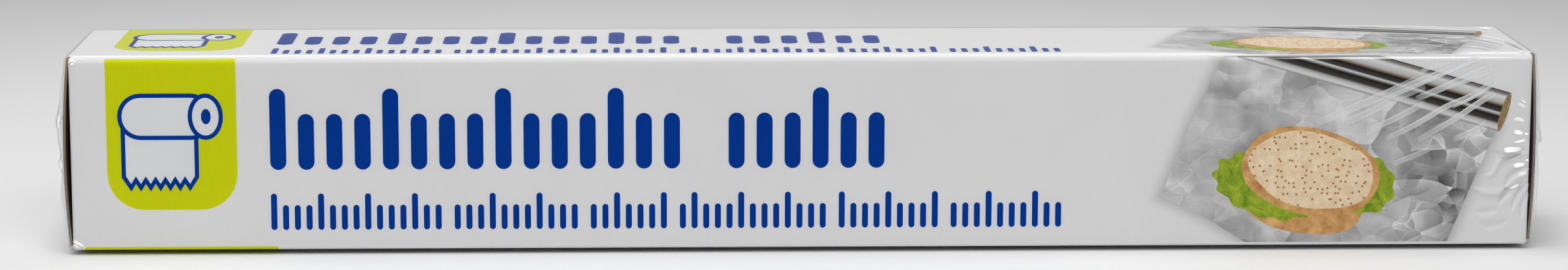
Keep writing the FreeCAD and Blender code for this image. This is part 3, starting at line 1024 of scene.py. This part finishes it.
def film_end(side):
    """Rings from the end of the straight film over the rim to the seal and out along its fin."""
    bow = BOWS[side]
    rings = []
    turn_radius = FLAP_FOLD + FILM_OFF
    flap_x = END_X + BOARD + FOOT_STAND
    for step in range(FILM_FOLD_STEPS + 1):
        turn = math.pi / 2 * step / FILM_FOLD_STEPS
        flat = film_outline(turn_radius * (1 - math.cos(turn)), SEAL_LEVEL[side])
        reach = math.sin(turn)
        rings.append([(flap_x - FLAP_FOLD + reach * (turn_radius + flap_belly(z, bow)), y, z) for y, z in flat])
    rim = film_outline(turn_radius, SEAL_LEVEL[side])
    slack = END_X + FILM_REACH - SEAL_FIN - flap_x - FILM_OFF - bow
    for share in TENT_SHARES:
        ring = []
        for index, (y, z) in enumerate(rim):
            seal_y, seal_z = seal_place(index, SEAL_LEVEL[side])
            ring_y, ring_z = y + (seal_y - y) * share, z + (seal_z - z) * share
            lift = PLEAT_HEIGHT * pleat(index, side) * 4 * share * (1 - share)
            sag = SAG * math.sin(ring_z * 0.9 + side) * share * (1 - share)
            x = flap_x + FILM_OFF + flap_belly(ring_z, bow) + slack * share + lift + sag
            near_front = min(max((-ring_y - FRONT_ZONE[0]) / (FRONT_ZONE[1] - FRONT_ZONE[0]), 0.0), 1.0)
            near_front *= min(share / 0.25, 1.0)
            x += (END_X + stand_out(side, ring_z - BASE_Z) - x) * near_front
            ring.append((x, ring_y, ring_z))
        rings.append(ring)
    # the trimmed fin waves a little
    fin = [(END_X + FILM_REACH + 0.15 * math.sin(y * 1.3), y, z + 0.25 * math.sin(y * 0.8)) for _, y, z in rings[-1]]
    rings.append(fin)
    return [[(side * x, y, z) for x, y, z in ring] for ring in rings]


STRAIGHT_STEPS = 24
film_rings = film_end(-1)[::-1]
for step in range(1, STRAIGHT_STEPS):
    share = step / STRAIGHT_STEPS
    level = SEAL_LEVEL[-1] + (SEAL_LEVEL[1] - SEAL_LEVEL[-1]) * share
    film_rings.append([(-END_X + 2 * END_X * share, y, z) for y, z in film_outline(0.0, level)])
film_rings += film_end(1)
print("rings along the film:", len(film_rings))

# %% [markdown]
# ## The skin of the film
# The skin of the film is one closed sleeve of rings, and smooth everywhere, also over its pleats. Blender could take
# its normals from the facets, but where long thin ones meet short ones that would tip them. So each normal comes
# from the points on either side, along the film and round it.

# %% Normals of the skin
def skin_normals(rings):
    """Normals of a closed skin of rings, from the points on either side of each."""
    grid = np.array(rings)
    along = np.empty_like(grid)
    along[1:-1] = grid[2:] - grid[:-2]
    along[0], along[-1] = grid[1] - grid[0], grid[-1] - grid[-2]
    about = np.roll(grid, -1, axis=1) - np.roll(grid, 1, axis=1)
    crossed = np.cross(along, about)
    length = np.linalg.norm(crossed, axis=2, keepdims=True)
    return crossed / np.maximum(length, 1e-12)


film = Gathered()
normals = skin_normals(film_rings)
facing = 1.0 if normals[len(film_rings) // 2][0][1] < 0 else -1.0  # the first point of a ring lies on the front
skin_points = [point for ring in film_rings for point in ring]
skin_facets = ring_facets(len(film_rings), ROUND)
film.add(skin_points, (normals * facing).reshape(-1, 3), skin_facets, "clear film", shades=[1.0] * len(skin_points))
print("skin normals face out:", facing)

# %% [markdown]
# ## One crease in the film
# Where the film puckered as it shrank, thin tented ridges catch the light. Ridges this fine would need a very dense
# skin, and a bump texture gives no single ridge a place of its own. So the skin stays light, and each crease is a
# narrow tapered ribbon of the same film laid on it, as a ridge or as a flat band with two bright edges. Its brightness
# is a painted highlight for the light that such a ridge catches, and where it is dark it is painted shade. It keeps its
# own strength, which fades out at its sides and tips. It is drawn flat, on a map that says where a panel's spots are.

# %% Maps of the flat panels
def on_front(u, v):
    """A place on the film over the front, u from the left end and v down from the top, with its normal."""
    return (u - END_X, -HALF_DEPTH - FILM_OFF, TOP_Z - v), (0.0, -1.0, 0.0)


def on_top(u, v):
    """A place on the film over the top, u from the left end and v forward from the back, with its normal."""
    return (u - END_X, HALF_DEPTH - v, TOP_Z + FILM_OFF), (0.0, 0.0, 1.0)


def on_back(u, v):
    """A place on the film over the back, u from the left end and v down from the top, with its normal."""
    return (u - END_X, HALF_DEPTH + FILM_OFF, TOP_Z - v), (0.0, 1.0, 0.0)


print("the front's middle lies at", on_front(END_X, PANEL_HEIGHT / 2)[0])

# %% A smooth path and a crease along it
RIDGE = ((-1.0, 0.0), (-0.45, 0.66), (0.0, 1.0), (0.45, 0.66), (1.0, 0.0))  # place across, share of the strength
BAND = ((-1.0, 0.0), (-0.8, 1.0), (0.0, 0.8), (0.8, 1.0), (1.0, 0.0))
CREASE_LIFT = 0.02  # how far the sides of a crease lie off the skin
FADE = 0.45  # how fast the strength comes up from a tip


def smooth_path(path, steps):
    """Places along a smooth curve through the knots of a path."""
    knots = [Vector(place) for place in path]
    line = []
    for step in range(steps + 1):
        place = step / steps * (len(knots) - 1)
        index = min(int(place), len(knots) - 2)
        share = place - index
        before, after = knots[max(index - 1, 0)], knots[min(index + 2, len(knots) - 1)]
        start, end = knots[index], knots[index + 1]
        lean_in, lean_out = (end - before) / 2, (after - start) / 2
        line.append(
            start * (2 * share**3 - 3 * share**2 + 1)
            + lean_in * (share**3 - 2 * share**2 + share)
            + end * (3 * share**2 - 2 * share**3)
            + lean_out * (share**3 - share**2)
        )
    return line


def crease(
    surface, path, width, strength, kind="film crease", height=0.12, steps=14, profile=RIDGE, lean=0.5, blunt=0.35
):
    """A ribbon of film along a path; lean tilts its normals aside, and blunt tells how blunt its tips are."""
    line = smooth_path(path, steps)
    rows, row_normals, strengths = [], [], []
    for step, place in enumerate(line):
        ahead = (line[min(step + 1, steps)] - line[max(step - 1, 0)]).normalized()
        aside = Vector((-ahead.y, ahead.x))
        bow = math.sin(math.pi * min(max(step / steps, 0.02), 0.98))
        swell = bow**blunt
        for offset, share_of_strength in profile:
            spot = place + aside * offset * width / 2 * swell
            point, normal = surface(spot.x, spot.y)
            rise = height * swell * (1 - abs(offset)) + CREASE_LIFT
            rows.append(tuple(Vector(point) + Vector(normal) * rise))
            tip, _ = surface(spot.x + aside.x * 0.01, spot.y + aside.y * 0.01)
            tilt = (Vector(tip) - Vector(point)) * 100
            row_normals.append(tuple((Vector(normal) + tilt * offset * lean).normalized()))
            strengths.append(strength * bow**FADE * share_of_strength)
    film.add(rows, row_normals, strip_facets(steps + 1, len(profile)), kind, shades=strengths)


print("points across a crease:", len(RIDGE), "and across a band:", len(BAND))

# %% [markdown]
# ## Puckers at the front's right end
# Over the picture long flat streaks fan up towards the corner, short blisters sit along the upright edge, and soft
# folds run down below them, dark on one side and lit on the other. They could be scattered by chance, but the eye knows
# film that was pulled from one corner. So each one is listed, with its knots in millimetres.

# %% Streaks over the picture
# Painted highlights: the streaks stand for light mirrored by the film's tension wrinkles.
STREAKS = (  # path from the lower left to the upper right, width and strength
    ([(276.7, 3.7), (280.7, 2.2)], 0.5, 0.45),
    ([(270.0, 8.4), (275.2, 6.0), (280.0, 4.1), (285.0, 2.2)], 0.55, 0.6),
    ([(266.0, 10.8), (275.3, 6.9), (286.5, 2.0), (287.8, 1.3)], 0.5, 0.75),
    ([(276.0, 9.4), (281.6, 7.0), (287.6, 4.2), (291.6, 2.7)], 0.95, 0.6),
    ([(282.5, 7.2), (287.0, 5.5), (291.1, 4.0)], 0.45, 0.6),
    ([(269.9, 17.7), (275.5, 15.0), (282.1, 11.1), (287.1, 8.9), (292.0, 5.9)], 0.8, 0.6),
    ([(283.5, 11.2), (287.8, 9.1), (292.4, 6.2)], 0.4, 0.7),
    ([(276.6, 18.0), (283.9, 13.7), (287.7, 11.1), (290.0, 9.6), (292.3, 8.3)], 0.85, 0.6),
    ([(284.0, 17.9), (288.5, 15.9), (290.6, 14.5)], 0.85, 0.55),
    ([(271.5, 23.0), (275.7, 21.3), (280.0, 19.4)], 0.75, 0.35),
    ([(255.5, 14.4), (264.6, 10.5), (270.9, 7.8), (275.9, 5.4)], 1.15, 0.45),
    ([(261.0, 14.5), (266.4, 12.1), (271.5, 9.4), (277.8, 6.8)], 1.0, 0.45),
    ([(266.6, 15.8), (271.0, 13.8), (275.3, 11.6), (277.9, 10.2)], 0.85, 0.45),
    ([(286.2, 1.9), (287.2, 1.3), (288.9, 1.0)], 0.7, 0.9),
    ([(283.0, 1.4), (283.7, 1.0)], 0.3, 0.8),
)
FLAT_STREAK = {"height": 0.02, "steps": 24, "profile": BAND, "lean": 0.05, "blunt": 0.08}
THIN_LINE = {"width": 0.3, "height": 0.04, "steps": 24, "lean": 0.2}
for path, width, strength in STREAKS:
    crease(on_front, path, 1.6 * width, 0.85 * strength, **FLAT_STREAK)
    crease(on_front, [(u - 0.1, v - 0.65 * width) for u, v in path], strength=strength, **THIN_LINE)
print(len(STREAKS), "streaks, each with a thin line above it")

# %% Blisters along the edge
# Small puckers of the film, each drawn as a painted highlight.
BLISTER_GLINTS = (  # path, width and strength
    ([(297.8, 9.6), (298.7, 10.3)], 0.26, 0.9),
    ([(297.2, 10.4), (297.9, 10.7), (298.7, 11.3)], 0.5, 0.5),
    ([(296.5, 13.9), (297.3, 13.6), (298.6, 14.2)], 0.62, 0.65),
    ([(296.5, 16.2), (297.3, 16.4), (298.3, 16.7)], 0.75, 1.0),
    ([(298.7, 16.7), (299.5, 16.8)], 0.35, 1.0),
    ([(296.6, 18.5), (297.9, 18.3), (299.0, 18.0)], 0.42, 1.0),
    ([(294.5, 20.2), (295.6, 20.1), (298.2, 19.95)], 0.95, 1.0),
    ([(296.6, 23.5), (297.6, 23.3), (299.0, 23.1)], 0.8, 1.0),
    ([(297.6, 25.5), (298.5, 25.1), (299.5, 24.8)], 0.7, 0.6),
    ([(296.0, 28.2), (297.0, 27.8), (298.0, 27.2)], 0.36, 1.0),
    ([(299.2, 22.3), (299.7, 22.2)], 0.4, 0.9),
)
for path, width, strength in BLISTER_GLINTS:
    crease(on_front, path, 1.25 * width, strength, "film blister", steps=10, profile=BAND, lean=0.2)
print(len(BLISTER_GLINTS), "blisters along the edge")

# %% Soft folds below them
SOFT_FOLDS = (  # path, width, strength, and how far beside it the lit side of the fold lies
    ([(290.7, 26.3), (292.7, 25.4), (293.9, 23.0), (296.8, 21.8), (299.6, 21.3)], 0.9, 0.32, -0.8),
    ([(294.8, 27.5), (295.7, 25.6), (297.7, 24.1), (299.7, 23.2)], 0.9, 0.4, 0.8),
    ([(293.5, 31.4), (295.0, 29.2), (297.5, 27.5), (299.4, 25.4)], 0.9, 0.36, 0.7),
    ([(296.3, 32.6), (297.2, 29.9), (298.3, 28.0), (299.8, 26.5)], 0.9, 0.4, 0.7),
    ([(298.4, 34.0), (298.8, 31.0), (299.7, 28.4)], 0.8, 0.35, 0.6),
    ([(288.7, 28.5), (291.1, 29.5), (293.8, 29.5), (295.8, 28.1)], 1.1, 0.28, -0.8),
    ([(288.9, 32.7), (291.2, 32.6), (293.7, 32.1)], 1.0, 0.25, 0.8),
    ([(292.2, 20.3), (294.2, 20.9), (296.7, 20.7), (299.2, 19.5)], 1.0, 0.25, 0.8),
    ([(289.6, 35.2), (292.4, 35.6), (295.4, 34.6)], 1.0, 0.22, 0.8),
)
SOFT = {"height": 0.03, "steps": 20, "lean": 0.0, "blunt": 0.6}
for path, width, strength, lit in SOFT_FOLDS:
    beside = [(u + 0.35 * lit, v + lit) for u, v in path]
    crease(on_front, path, 2.3 * width, 0.5 * strength, "film shade", **SOFT)
    crease(on_front, beside, 2.0 * width, 0.75 * strength, "film blister", **SOFT)
print(len(SOFT_FOLDS), "soft folds, each with a dark and a lit side")

# %% [markdown]
# ## Wrinkles on the back and on the top
# Nothing is printed on the back, so its film only shows a few soft wrinkles, which start at both ends and fan out.
# They all are alike, so a loop draws them, and sine waves make them uneven: the same ones come out each time. The top
# mirrors the room, so its creases are drawn one by one again, as dark shades and bright glints.

# %% Wrinkles on the back
WRINKLES = 7  # at each end
WRINKLE_TOP, WRINKLE_STEP = 6.0, 4.4  # how far down the first one lies, and each next one
SHORTEST, STRETCH = 3.5, 21.0
FAN, LEVEL_ONE = 0.16, 19.0  # how much they fan out, and how far down one would run level
# Each wrinkle is a painted highlight with a painted shade just below it.
for end, inward in ((0.5, 1), (2 * END_X - 0.5, -1)):
    for number in range(WRINKLES):
        foot = WRINKLE_TOP + WRINKLE_STEP * number + 1.5 * math.sin(3.1 * number + inward)
        length = SHORTEST + STRETCH * math.sin(2.2 * number + 0.9 * inward) ** 2
        fan = FAN * (foot - LEVEL_ONE) * length / 20
        path = [(end, foot), (end + inward * length / 2, foot + 0.8 * fan), (end + inward * length, foot + fan)]
        strength = 0.16 + 0.26 * abs(math.cos(2.7 * number + inward))
        crease(on_back, path, 0.85, strength, height=0.05, steps=20)
        below = [(u, v + 0.6) for u, v in path]
        crease(on_back, below, 0.9, 0.6 * strength, "film shade", height=0.03, steps=20, lean=0.0)
print(2 * WRINKLES, "wrinkles on the back")

# %% Shades and glints on the top
TOP_SHADES = (
    [(290.8, 19.1), (293.4, 23.2), (296.1, 29.7)],
    [(289.0, 23.2), (292.0, 26.7), (295.1, 33.6)],
    [(288.1, 26.6), (291.2, 29.6), (293.8, 35.9)],
    [(286.2, 31.8), (289.6, 33.0), (291.7, 37.0)],
    [(297.4, 24.0), (298.0, 29.0), (298.7, 36.0)],
)
for path in TOP_SHADES:
    crease(on_top, path, 0.8, 0.85, "film shade", height=0.02, blunt=0.15)
    crease(on_top, [(u + 0.8, v) for u, v in path], 0.8, 0.4, height=0.03)
TOP_GLINTS = (  # path, width and strength
    ([(293.3, 15.6), (295.9, 18.6), (297.9, 23.9)], 0.9, 0.8),
    ([(281.9, 22.2), (284.1, 25.2), (285.8, 28.0)], 0.9, 0.8),
    ([(293.2, 22.0), (294.5, 22.6)], 1.2, 0.9),
    ([(296.0, 5.2), (297.3, 4.8), (298.7, 4.9)], 5.5, 1.0),
    ([(262.0, 1.2), (275.0, 1.6), (291.0, 2.6)], 2.6, 0.5),
    ([(240.0, 10.0), (262.0, 11.5), (284.0, 14.0)], 1.2, 0.35),
    ([(246.0, 16.0), (266.0, 17.0), (281.0, 20.0)], 1.0, 0.35),
    ([(297.0, 38.8), (298.5, 39.0)], 1.6, 1.0),
    ([(275.3, 39.0), (276.8, 39.0)], 1.4, 1.0),
)
for path, width, strength in TOP_GLINTS:
    crease(on_top, path, width, strength, "film blister", height=0.04, steps=16)
print(len(TOP_SHADES), "shades and", len(TOP_GLINTS), "glints on the top")

# %% [markdown]
# ## Ridges of the gathered ends
# On each end the pleats run from the rim to the seal, and the seal itself was pressed by a ribbed bar, which leaves
# level lines. The pleats are in the skin already, but soft, so some carry a thin ridge that follows one point of the
# outline through all the rings. The ridges and the seal's lines are drawn lighter than the film, as painted highlights.
# Every third ridge is a painted shade instead, as pleats have a dark side too.

# %% Pleats and seal lines
PLEAT_RIDGES = 18  # on each end
PLEAT_LEAN = 0.7  # how far the normals at a ridge's sides are tilted
RIDGE_LIFT, RIDGE_HEIGHT = 0.03, 0.14
SEAL_LINES = ((0.0, 0.5, 0.75), (0.5, 0.35, 0.4), (-0.55, 0.3, 0.35))  # height, width and strength
SEAL_WAVE = ((-18.6, 0.0), (-9.0, 0.12), (0.0, -0.1), (9.5, 0.1), (18.6, 0.0))


def pleat_ridge(rings, side, index, width, strength, kind):
    """A ridge on the gathered end, from its rim to its seal, that follows one point of the outline."""
    rows, row_normals, strengths = [], [], []
    steps = len(rings) - 1
    for step, ring in enumerate(rings):
        place = Vector(ring[index])
        aside = Vector(ring[(index + 1) % ROUND]) - Vector(ring[index - 1])
        ahead = Vector(rings[min(step + 1, steps)][index]) - Vector(rings[max(step - 1, 0)][index])
        normal = aside.cross(ahead)
        normal = normal.normalized() if normal.length > 1e-9 else Vector((side, 0.0, 0.0))
        normal *= 1 if normal.x * side > 0 else -1
        aside.normalize()
        swell = math.sin(math.pi * (0.08 + 0.84 * step / steps)) ** 0.6
        for offset, share_of_strength in RIDGE:
            rise = RIDGE_LIFT + RIDGE_HEIGHT * swell * (1 - abs(offset))
            rows.append(tuple(place + aside * offset * width / 2 * swell + normal * rise))
            row_normals.append(tuple((normal + aside * offset * PLEAT_LEAN).normalized()))
            strengths.append(strength * swell * share_of_strength)
    film.add(rows, row_normals, strip_facets(len(rings), len(RIDGE)), kind, shades=strengths)


def on_seal(side):
    """Places on the outer edge of the seal's fin: u from front to back, v above its level."""

    def place(u, v):
        return (side * (END_X + FILM_REACH), u, SEAL_LEVEL[side] + v), (side, 0.0, 0.0)

    return place


for side in (-1, 1):
    rings = film_end(side)[FILM_FOLD_STEPS - 2 : -1]
    for number in range(PLEAT_RIDGES):
        index = (number * ROUND // PLEAT_RIDGES + (number * number * 5) % 7) % ROUND
        kind = "film shade" if number % 3 == 0 else "film crease"
        strength = 0.12 + 0.26 * abs(math.sin(number * 2.3 + side))
        width = 0.5 + 1.1 * abs(math.sin(number * 1.7 + 2 * side))
        pleat_ridge(rings, side, index, width, strength, kind)
    for shift, width, strength in SEAL_LINES:
        seal_line = [(across, shift + wave) for across, wave in SEAL_WAVE]
        crease(on_seal(side), seal_line, width, strength, height=0.04, steps=24)
print(PLEAT_RIDGES, "ridges and", len(SEAL_LINES), "seal lines on each end")

# %% [markdown]
# ## Outlines beyond the ends and sheen on the fold
# From the front, the film past each end is seen edge on, as a thin grey outline with a few bright specks, and the
# long upper fold carries a broken line of light. Both need a map of their own: one stands upright at the end's
# front corner, the other is rolled round the fold. With those maps the same ribbons do.

# %% Outlines beyond the ends
def beyond_end(side):
    """Places on the film's front corner at one end: u beyond the carton's end, v above the folds."""

    def place(u, v):
        return (side * (END_X + u), -HALF_DEPTH + 0.4, BASE_Z + v), (side * 0.3, -0.95, 0.0)

    return place


for side, knots in STAND_OUT.items():
    rim = [(reach, height) for height, reach in knots if height > 0.5]
    inner = [(0.6 * reach + 0.4 * (0.5 + flap_belly(BASE_Z + height, BOWS[side])), height) for reach, height in rim]
    crease(beyond_end(side), rim, 0.3, 0.75, "film shade", height=0.02, steps=60)
    crease(beyond_end(side), inner, 0.9, 0.42, height=0.05, steps=60)
END_MARKS = (  # end, path, width, strength, kind and height
    (-1, [(2.35, 28.2), (2.2, 27.2), (2.35, 26.2), (2.1, 25.2)], 0.4, 0.9, "film blister", 0.12),
    (-1, [(1.7, 28.6), (1.95, 27.4), (1.8, 26.6)], 0.22, 0.7, "film blister", 0.12),
    (-1, [(1.9, 31.0), (2.2, 29.2), (2.5, 27.6)], 0.16, 0.6, "film shade", 0.02),
    (-1, [(2.1, 18.6), (1.95, 17.6), (2.1, 16.8)], 0.35, 0.9, "film blister", 0.12),
    (1, [(1.25, 26.4), (1.7, 24.4), (2.3, 22.2)], 0.3, 0.8, "film shade", 0.02),
    (1, [(1.5, 36.0), (1.3, 31.0), (1.6, 27.0)], 0.15, 0.5, "film shade", 0.02),
)
for side, path, width, strength, kind, height in END_MARKS:
    crease(beyond_end(side), path, width, strength, kind, height)
# Painted highlights on the film at the front's left corners.
CORNER_MARKS = (  # u and v of both tips, how far the middle lies off, and strength
    (0.0, 38.0, 1.9, 39.0, 0.05, 1.0),
    (0.2, 38.6, 1.25, 39.5, 0.05, 1.0),
    (0.1, 37.6, 2.5, 39.2, 0.05, 1.0),
    (0.3, 0.9, 1.2, 0.5, 0.0, 0.9),
    (0.5, 1.5, 1.3, 1.2, 0.0, 0.9),
    (0.9, 0.4, 1.5, 1.1, 0.0, 0.9),
)
for u0, v0, u1, v1, sag, strength in CORNER_MARKS:
    path = [(u0, v0), ((u0 + u1) / 2, (v0 + v1) / 2 + sag), (u1, v1)]
    crease(on_front, path, 0.3, strength, "film blister", height=0.08, steps=8, profile=BAND)
print(len(END_MARKS), "marks beyond the ends and", len(CORNER_MARKS), "at the left corners")

# %% Sheen on the long upper fold
def on_fold(u, v):
    """Places on the film over the long front fold: u from the left end, v round it from the front."""
    turn = v / TOP_FOLD
    normal = (0.0, -math.cos(turn), math.sin(turn))
    radius = TOP_FOLD + FILM_OFF
    centre = (-HALF_DEPTH + TOP_FOLD, TOP_Z - TOP_FOLD)
    return (u - END_X, centre[0] + radius * normal[1], centre[1] + radius * normal[2]), normal


FOLD_SHEENS = (  # u of both tips, v, width and strength
    (0.6, 47.0, 1.55, 0.7, 0.7),
    (30.0, 95.0, 1.6, 0.5, 0.65),
    (80.0, 175.0, 1.75, 0.24, 0.6),
    (140.0, 240.0, 1.85, 0.22, 0.5),
    (225.0, 284.0, 1.3, 0.25, 0.35),
    (246.0, 299.4, 0.45, 0.5, 0.6),
    (283.0, 299.4, 1.4, 0.4, 0.3),
)
for u0, u1, v, width, strength in FOLD_SHEENS:
    path = [(u0, v), ((u0 + u1) / 2, v + 0.03), (u1, v)]
    crease(on_fold, path, width, strength, "film blister", height=0.02, steps=40)
crease(on_fold, [(243.0, 1.6), (262.0, 1.6), (287.0, 1.6)], 1.1, 0.42, "film shade", height=0.01, steps=40)
print(len(FOLD_SHEENS), "sheens on the upper fold")

# %% [markdown]
# ## Clear film as a material
# Clear film is nearly invisible where it is seen square on, and shines where it is seen at a slant. A Transparent
# shader mixed with a glossy one, by Fresnel, gives both. Creases use the same pair with the strength kept on their
# points. Their white is a painted highlight, the glints also glow a little as painted highlight, and the soft folds
# darken instead of shining, as painted shade.

# %% Film finishes
FILM_IOR = 1.45
CLEAREST = 0.0185  # taken off the gloss, so that the film is clear where it is seen square on


def see_through(name, color, roughness, share, extra=None):
    """A glossy shader mixed over a transparent one; share makes the mask of the glossy one."""
    material, shader = finish(name)
    tree = material.node_tree
    fill(tree, shader, {"Base Color": (*color, 1.0), "Roughness": roughness, **(extra or {})})
    clear = node(tree, "ShaderNodeBsdfTransparent")
    mixed = node(tree, "ShaderNodeMixShader", {"Fac": share(tree), 1: clear.outputs[0], 2: shader.outputs[0]})
    fill(tree, tree.nodes["Material Output"], {"Surface": mixed.outputs[0]})
    return material


def film_gleam(tree):
    """How much of the film's gloss shows: little square on, more at a slant."""
    slant = node(tree, "ShaderNodeFresnel", {"IOR": FILM_IOR})
    ripple = arithmetic(tree, "MULTIPLY_ADD", noise(tree, object_place(tree), 90.0, 2.0), 0.3, 0.85)
    return arithmetic(tree, "MULTIPLY", cut_off(tree, slant.outputs[0], 0.55, -CLEAREST), ripple)


def crease_strength(tree):
    """The strength kept on each crease."""
    return node(tree, "ShaderNodeAttribute", attribute_name="crease_strength").outputs["Fac"]


# Painted highlight: the glints glow, standing in for a lamp mirrored all over them.
LIT = {"Emission Color": (1.0, 1.0, 1.0, 1.0), "Emission Strength": 0.25}  # a blister mirrors a lamp all over
film_finishes = {
    "clear film": see_through("clear film", (1.0, 1.0, 1.0), 0.1, film_gleam, {"Metallic": 1.0}),
    "film crease": see_through("film crease", (0.92, 0.93, 0.94), 0.3, crease_strength),
    "film blister": see_through("film blister", (0.97, 0.97, 0.98), 0.2, crease_strength, LIT),
    "film shade": see_through("film shade", (0.42, 0.42, 0.43), 0.4, crease_strength),
}
print("finishes on the film:", ", ".join(film_finishes))

# %% [markdown]
# ## The film as one piece
# The skin and all its creases are one sleeve of film, so they are one mesh too. Creases as objects of their own would
# be easier to pick out, but the file would carry over a hundred of them for a single sheet of plastic.

# %% Make the film
film_piece = film.make("shrink_film", film_finishes, "crease_strength")
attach(film_piece, "root")
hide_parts("film_wrap")

# %% [markdown]
# ## Table
# The carton lies on a pale table that falls off slowly into a greyer background. That fade could be a curved sheet of
# paper behind the pack, as in a studio. A flat table whose colour fades with the distance is simpler and casts no shade
# of its own. The fade is painted shade, for the light that falls off away from the pack. Further out the camera alone
# sees an even grey, so no horizon shows.

# %% Table
REACH = 30.0  # metres
BELOW = -0.05  # millimetres, so that the table and the film's foot don't touch
mesh = bpy.data.meshes.new("table_top")
mesh.from_pydata([(-REACH, -REACH, 0), (REACH, -REACH, 0), (REACH, REACH, 0), (-REACH, REACH, 0)], [], [(0, 1, 2, 3)])
table = bpy.data.objects.new("table_top", mesh)
table.location.z = BELOW * MM
bpy.context.scene.collection.objects.link(table)
table_finish, shader = finish("pale table")
tree = table_finish.node_tree
away = vector_math(tree, "LENGTH", mapped(tree, object_place(tree), (0.9, 1.05, 1.0), location=(0.0, 0.02, 0.0)))
# Painted shade: the table's colour darkens from pale to grey away from the carton.
paint = between(tree, eased(tree, away, 0.2, 0.7), (0.835, 0.835, 0.838), (0.5, 0.5, 0.503))
camera_ray = node(tree, "ShaderNodeLightPath").outputs["Is Camera Ray"]
seen = arithmetic(tree, "MULTIPLY", eased(tree, away, 0.5, 1.5), camera_ray)
background = between(tree, seen, (0.0, 0.0, 0.0), (0.4, 0.4, 0.403))
fill(tree, shader, {"Base Color": paint, "Roughness": 0.6, "Emission Color": background, "Emission Strength": 1.0})
mesh.materials.append(table_finish)
print("table:", 2 * REACH, "m across")

# %% [markdown]
# ## Light
# A softbox hangs over the pack, a little to its left, and a wide screen stands high in front of it, so the top is
# the brightest side and the front has an even light without a hard edge. An evenly grey room fills the shadows. One
# lamp could do with a brighter room, but then the shadow under the front would be lost.

# %% Lights
ROOM = 0.33
LIT_POINT = Vector((0.0, 0.0, 0.02))


def add_lamp(name, size, energy, location):
    """A rectangular lamp that faces the middle of the carton."""
    light = bpy.data.lights.new(name, "AREA")
    light.shape = "RECTANGLE"
    light.size, light.size_y = size
    light.energy = energy
    lamp = bpy.data.objects.new(name, light)
    lamp.location = location
    bpy.context.scene.collection.objects.link(lamp)
    lamp.rotation_mode = "QUATERNION"
    lamp.rotation_quaternion = (LIT_POINT - lamp.location).to_track_quat("-Z", "Y")
    print(f"{name}: {size[0]} x {size[1]} m, {energy} W")


world = bpy.data.worlds.new("bright_room")
bpy.context.scene.world = world
world.use_nodes = True
fill(world.node_tree, world.node_tree.nodes["Background"], {"Color": (ROOM, ROOM, ROOM, 1.0), "Strength": 1.0})
add_lamp("softbox", (0.5, 0.36), 3.05, (-0.12, -0.02, 0.85))
add_lamp("front_screen", (1.4, 0.7), 8.9, (0.0, -0.85, 1.0))

# %% [markdown]
# ## Camera
# The camera stands eight tenths of a metre in front with a long lens and looks down ten degrees, so the front is
# almost square on and the top is a thin strip. It could be aimed at the carton with a constraint, but its place,
# its three angles and its lens were fitted together to the corners of the real pack, so they are set as numbers.

# %% Camera
PITCH, YAW, ROLL = (math.radians(angle) for angle in (9.77, 1.946, 0.134))
CAMERA_PLACE = Vector((-30.975, -805.98, 159.92))  # millimetres
level_right = Vector((math.cos(YAW), -math.sin(YAW), 0.0))
level_ahead = Vector((math.sin(YAW), math.cos(YAW), 0.0))
upright = Vector((0.0, 0.0, 1.0))
ahead = level_ahead * math.cos(PITCH) - upright * math.sin(PITCH)
lifted = level_ahead * math.sin(PITCH) + upright * math.cos(PITCH)
rightward = level_right * math.cos(ROLL) + lifted * math.sin(ROLL)
upward = -level_right * math.sin(ROLL) + lifted * math.cos(ROLL)
lens = bpy.data.cameras.new("product_camera")
lens.sensor_width = 36.0
lens.lens = 89.29
lens.clip_start, lens.clip_end = 0.01, 100.0
camera = bpy.data.objects.new("product_camera", lens)
bpy.context.scene.collection.objects.link(camera)
turned = Matrix((rightward, upward, -ahead)).transposed().to_4x4()
camera.matrix_world = Matrix.Translation(CAMERA_PLACE * MM) @ turned
bpy.context.scene.camera = camera
bpy.context.scene.view_settings.view_transform = "Standard"
print(f"camera {camera.location.length:.3f} m away")

# %% [markdown]
# ## Finish
# Last, the view layer is brought up to date.

# %% Finish
bpy.context.view_layer.update()
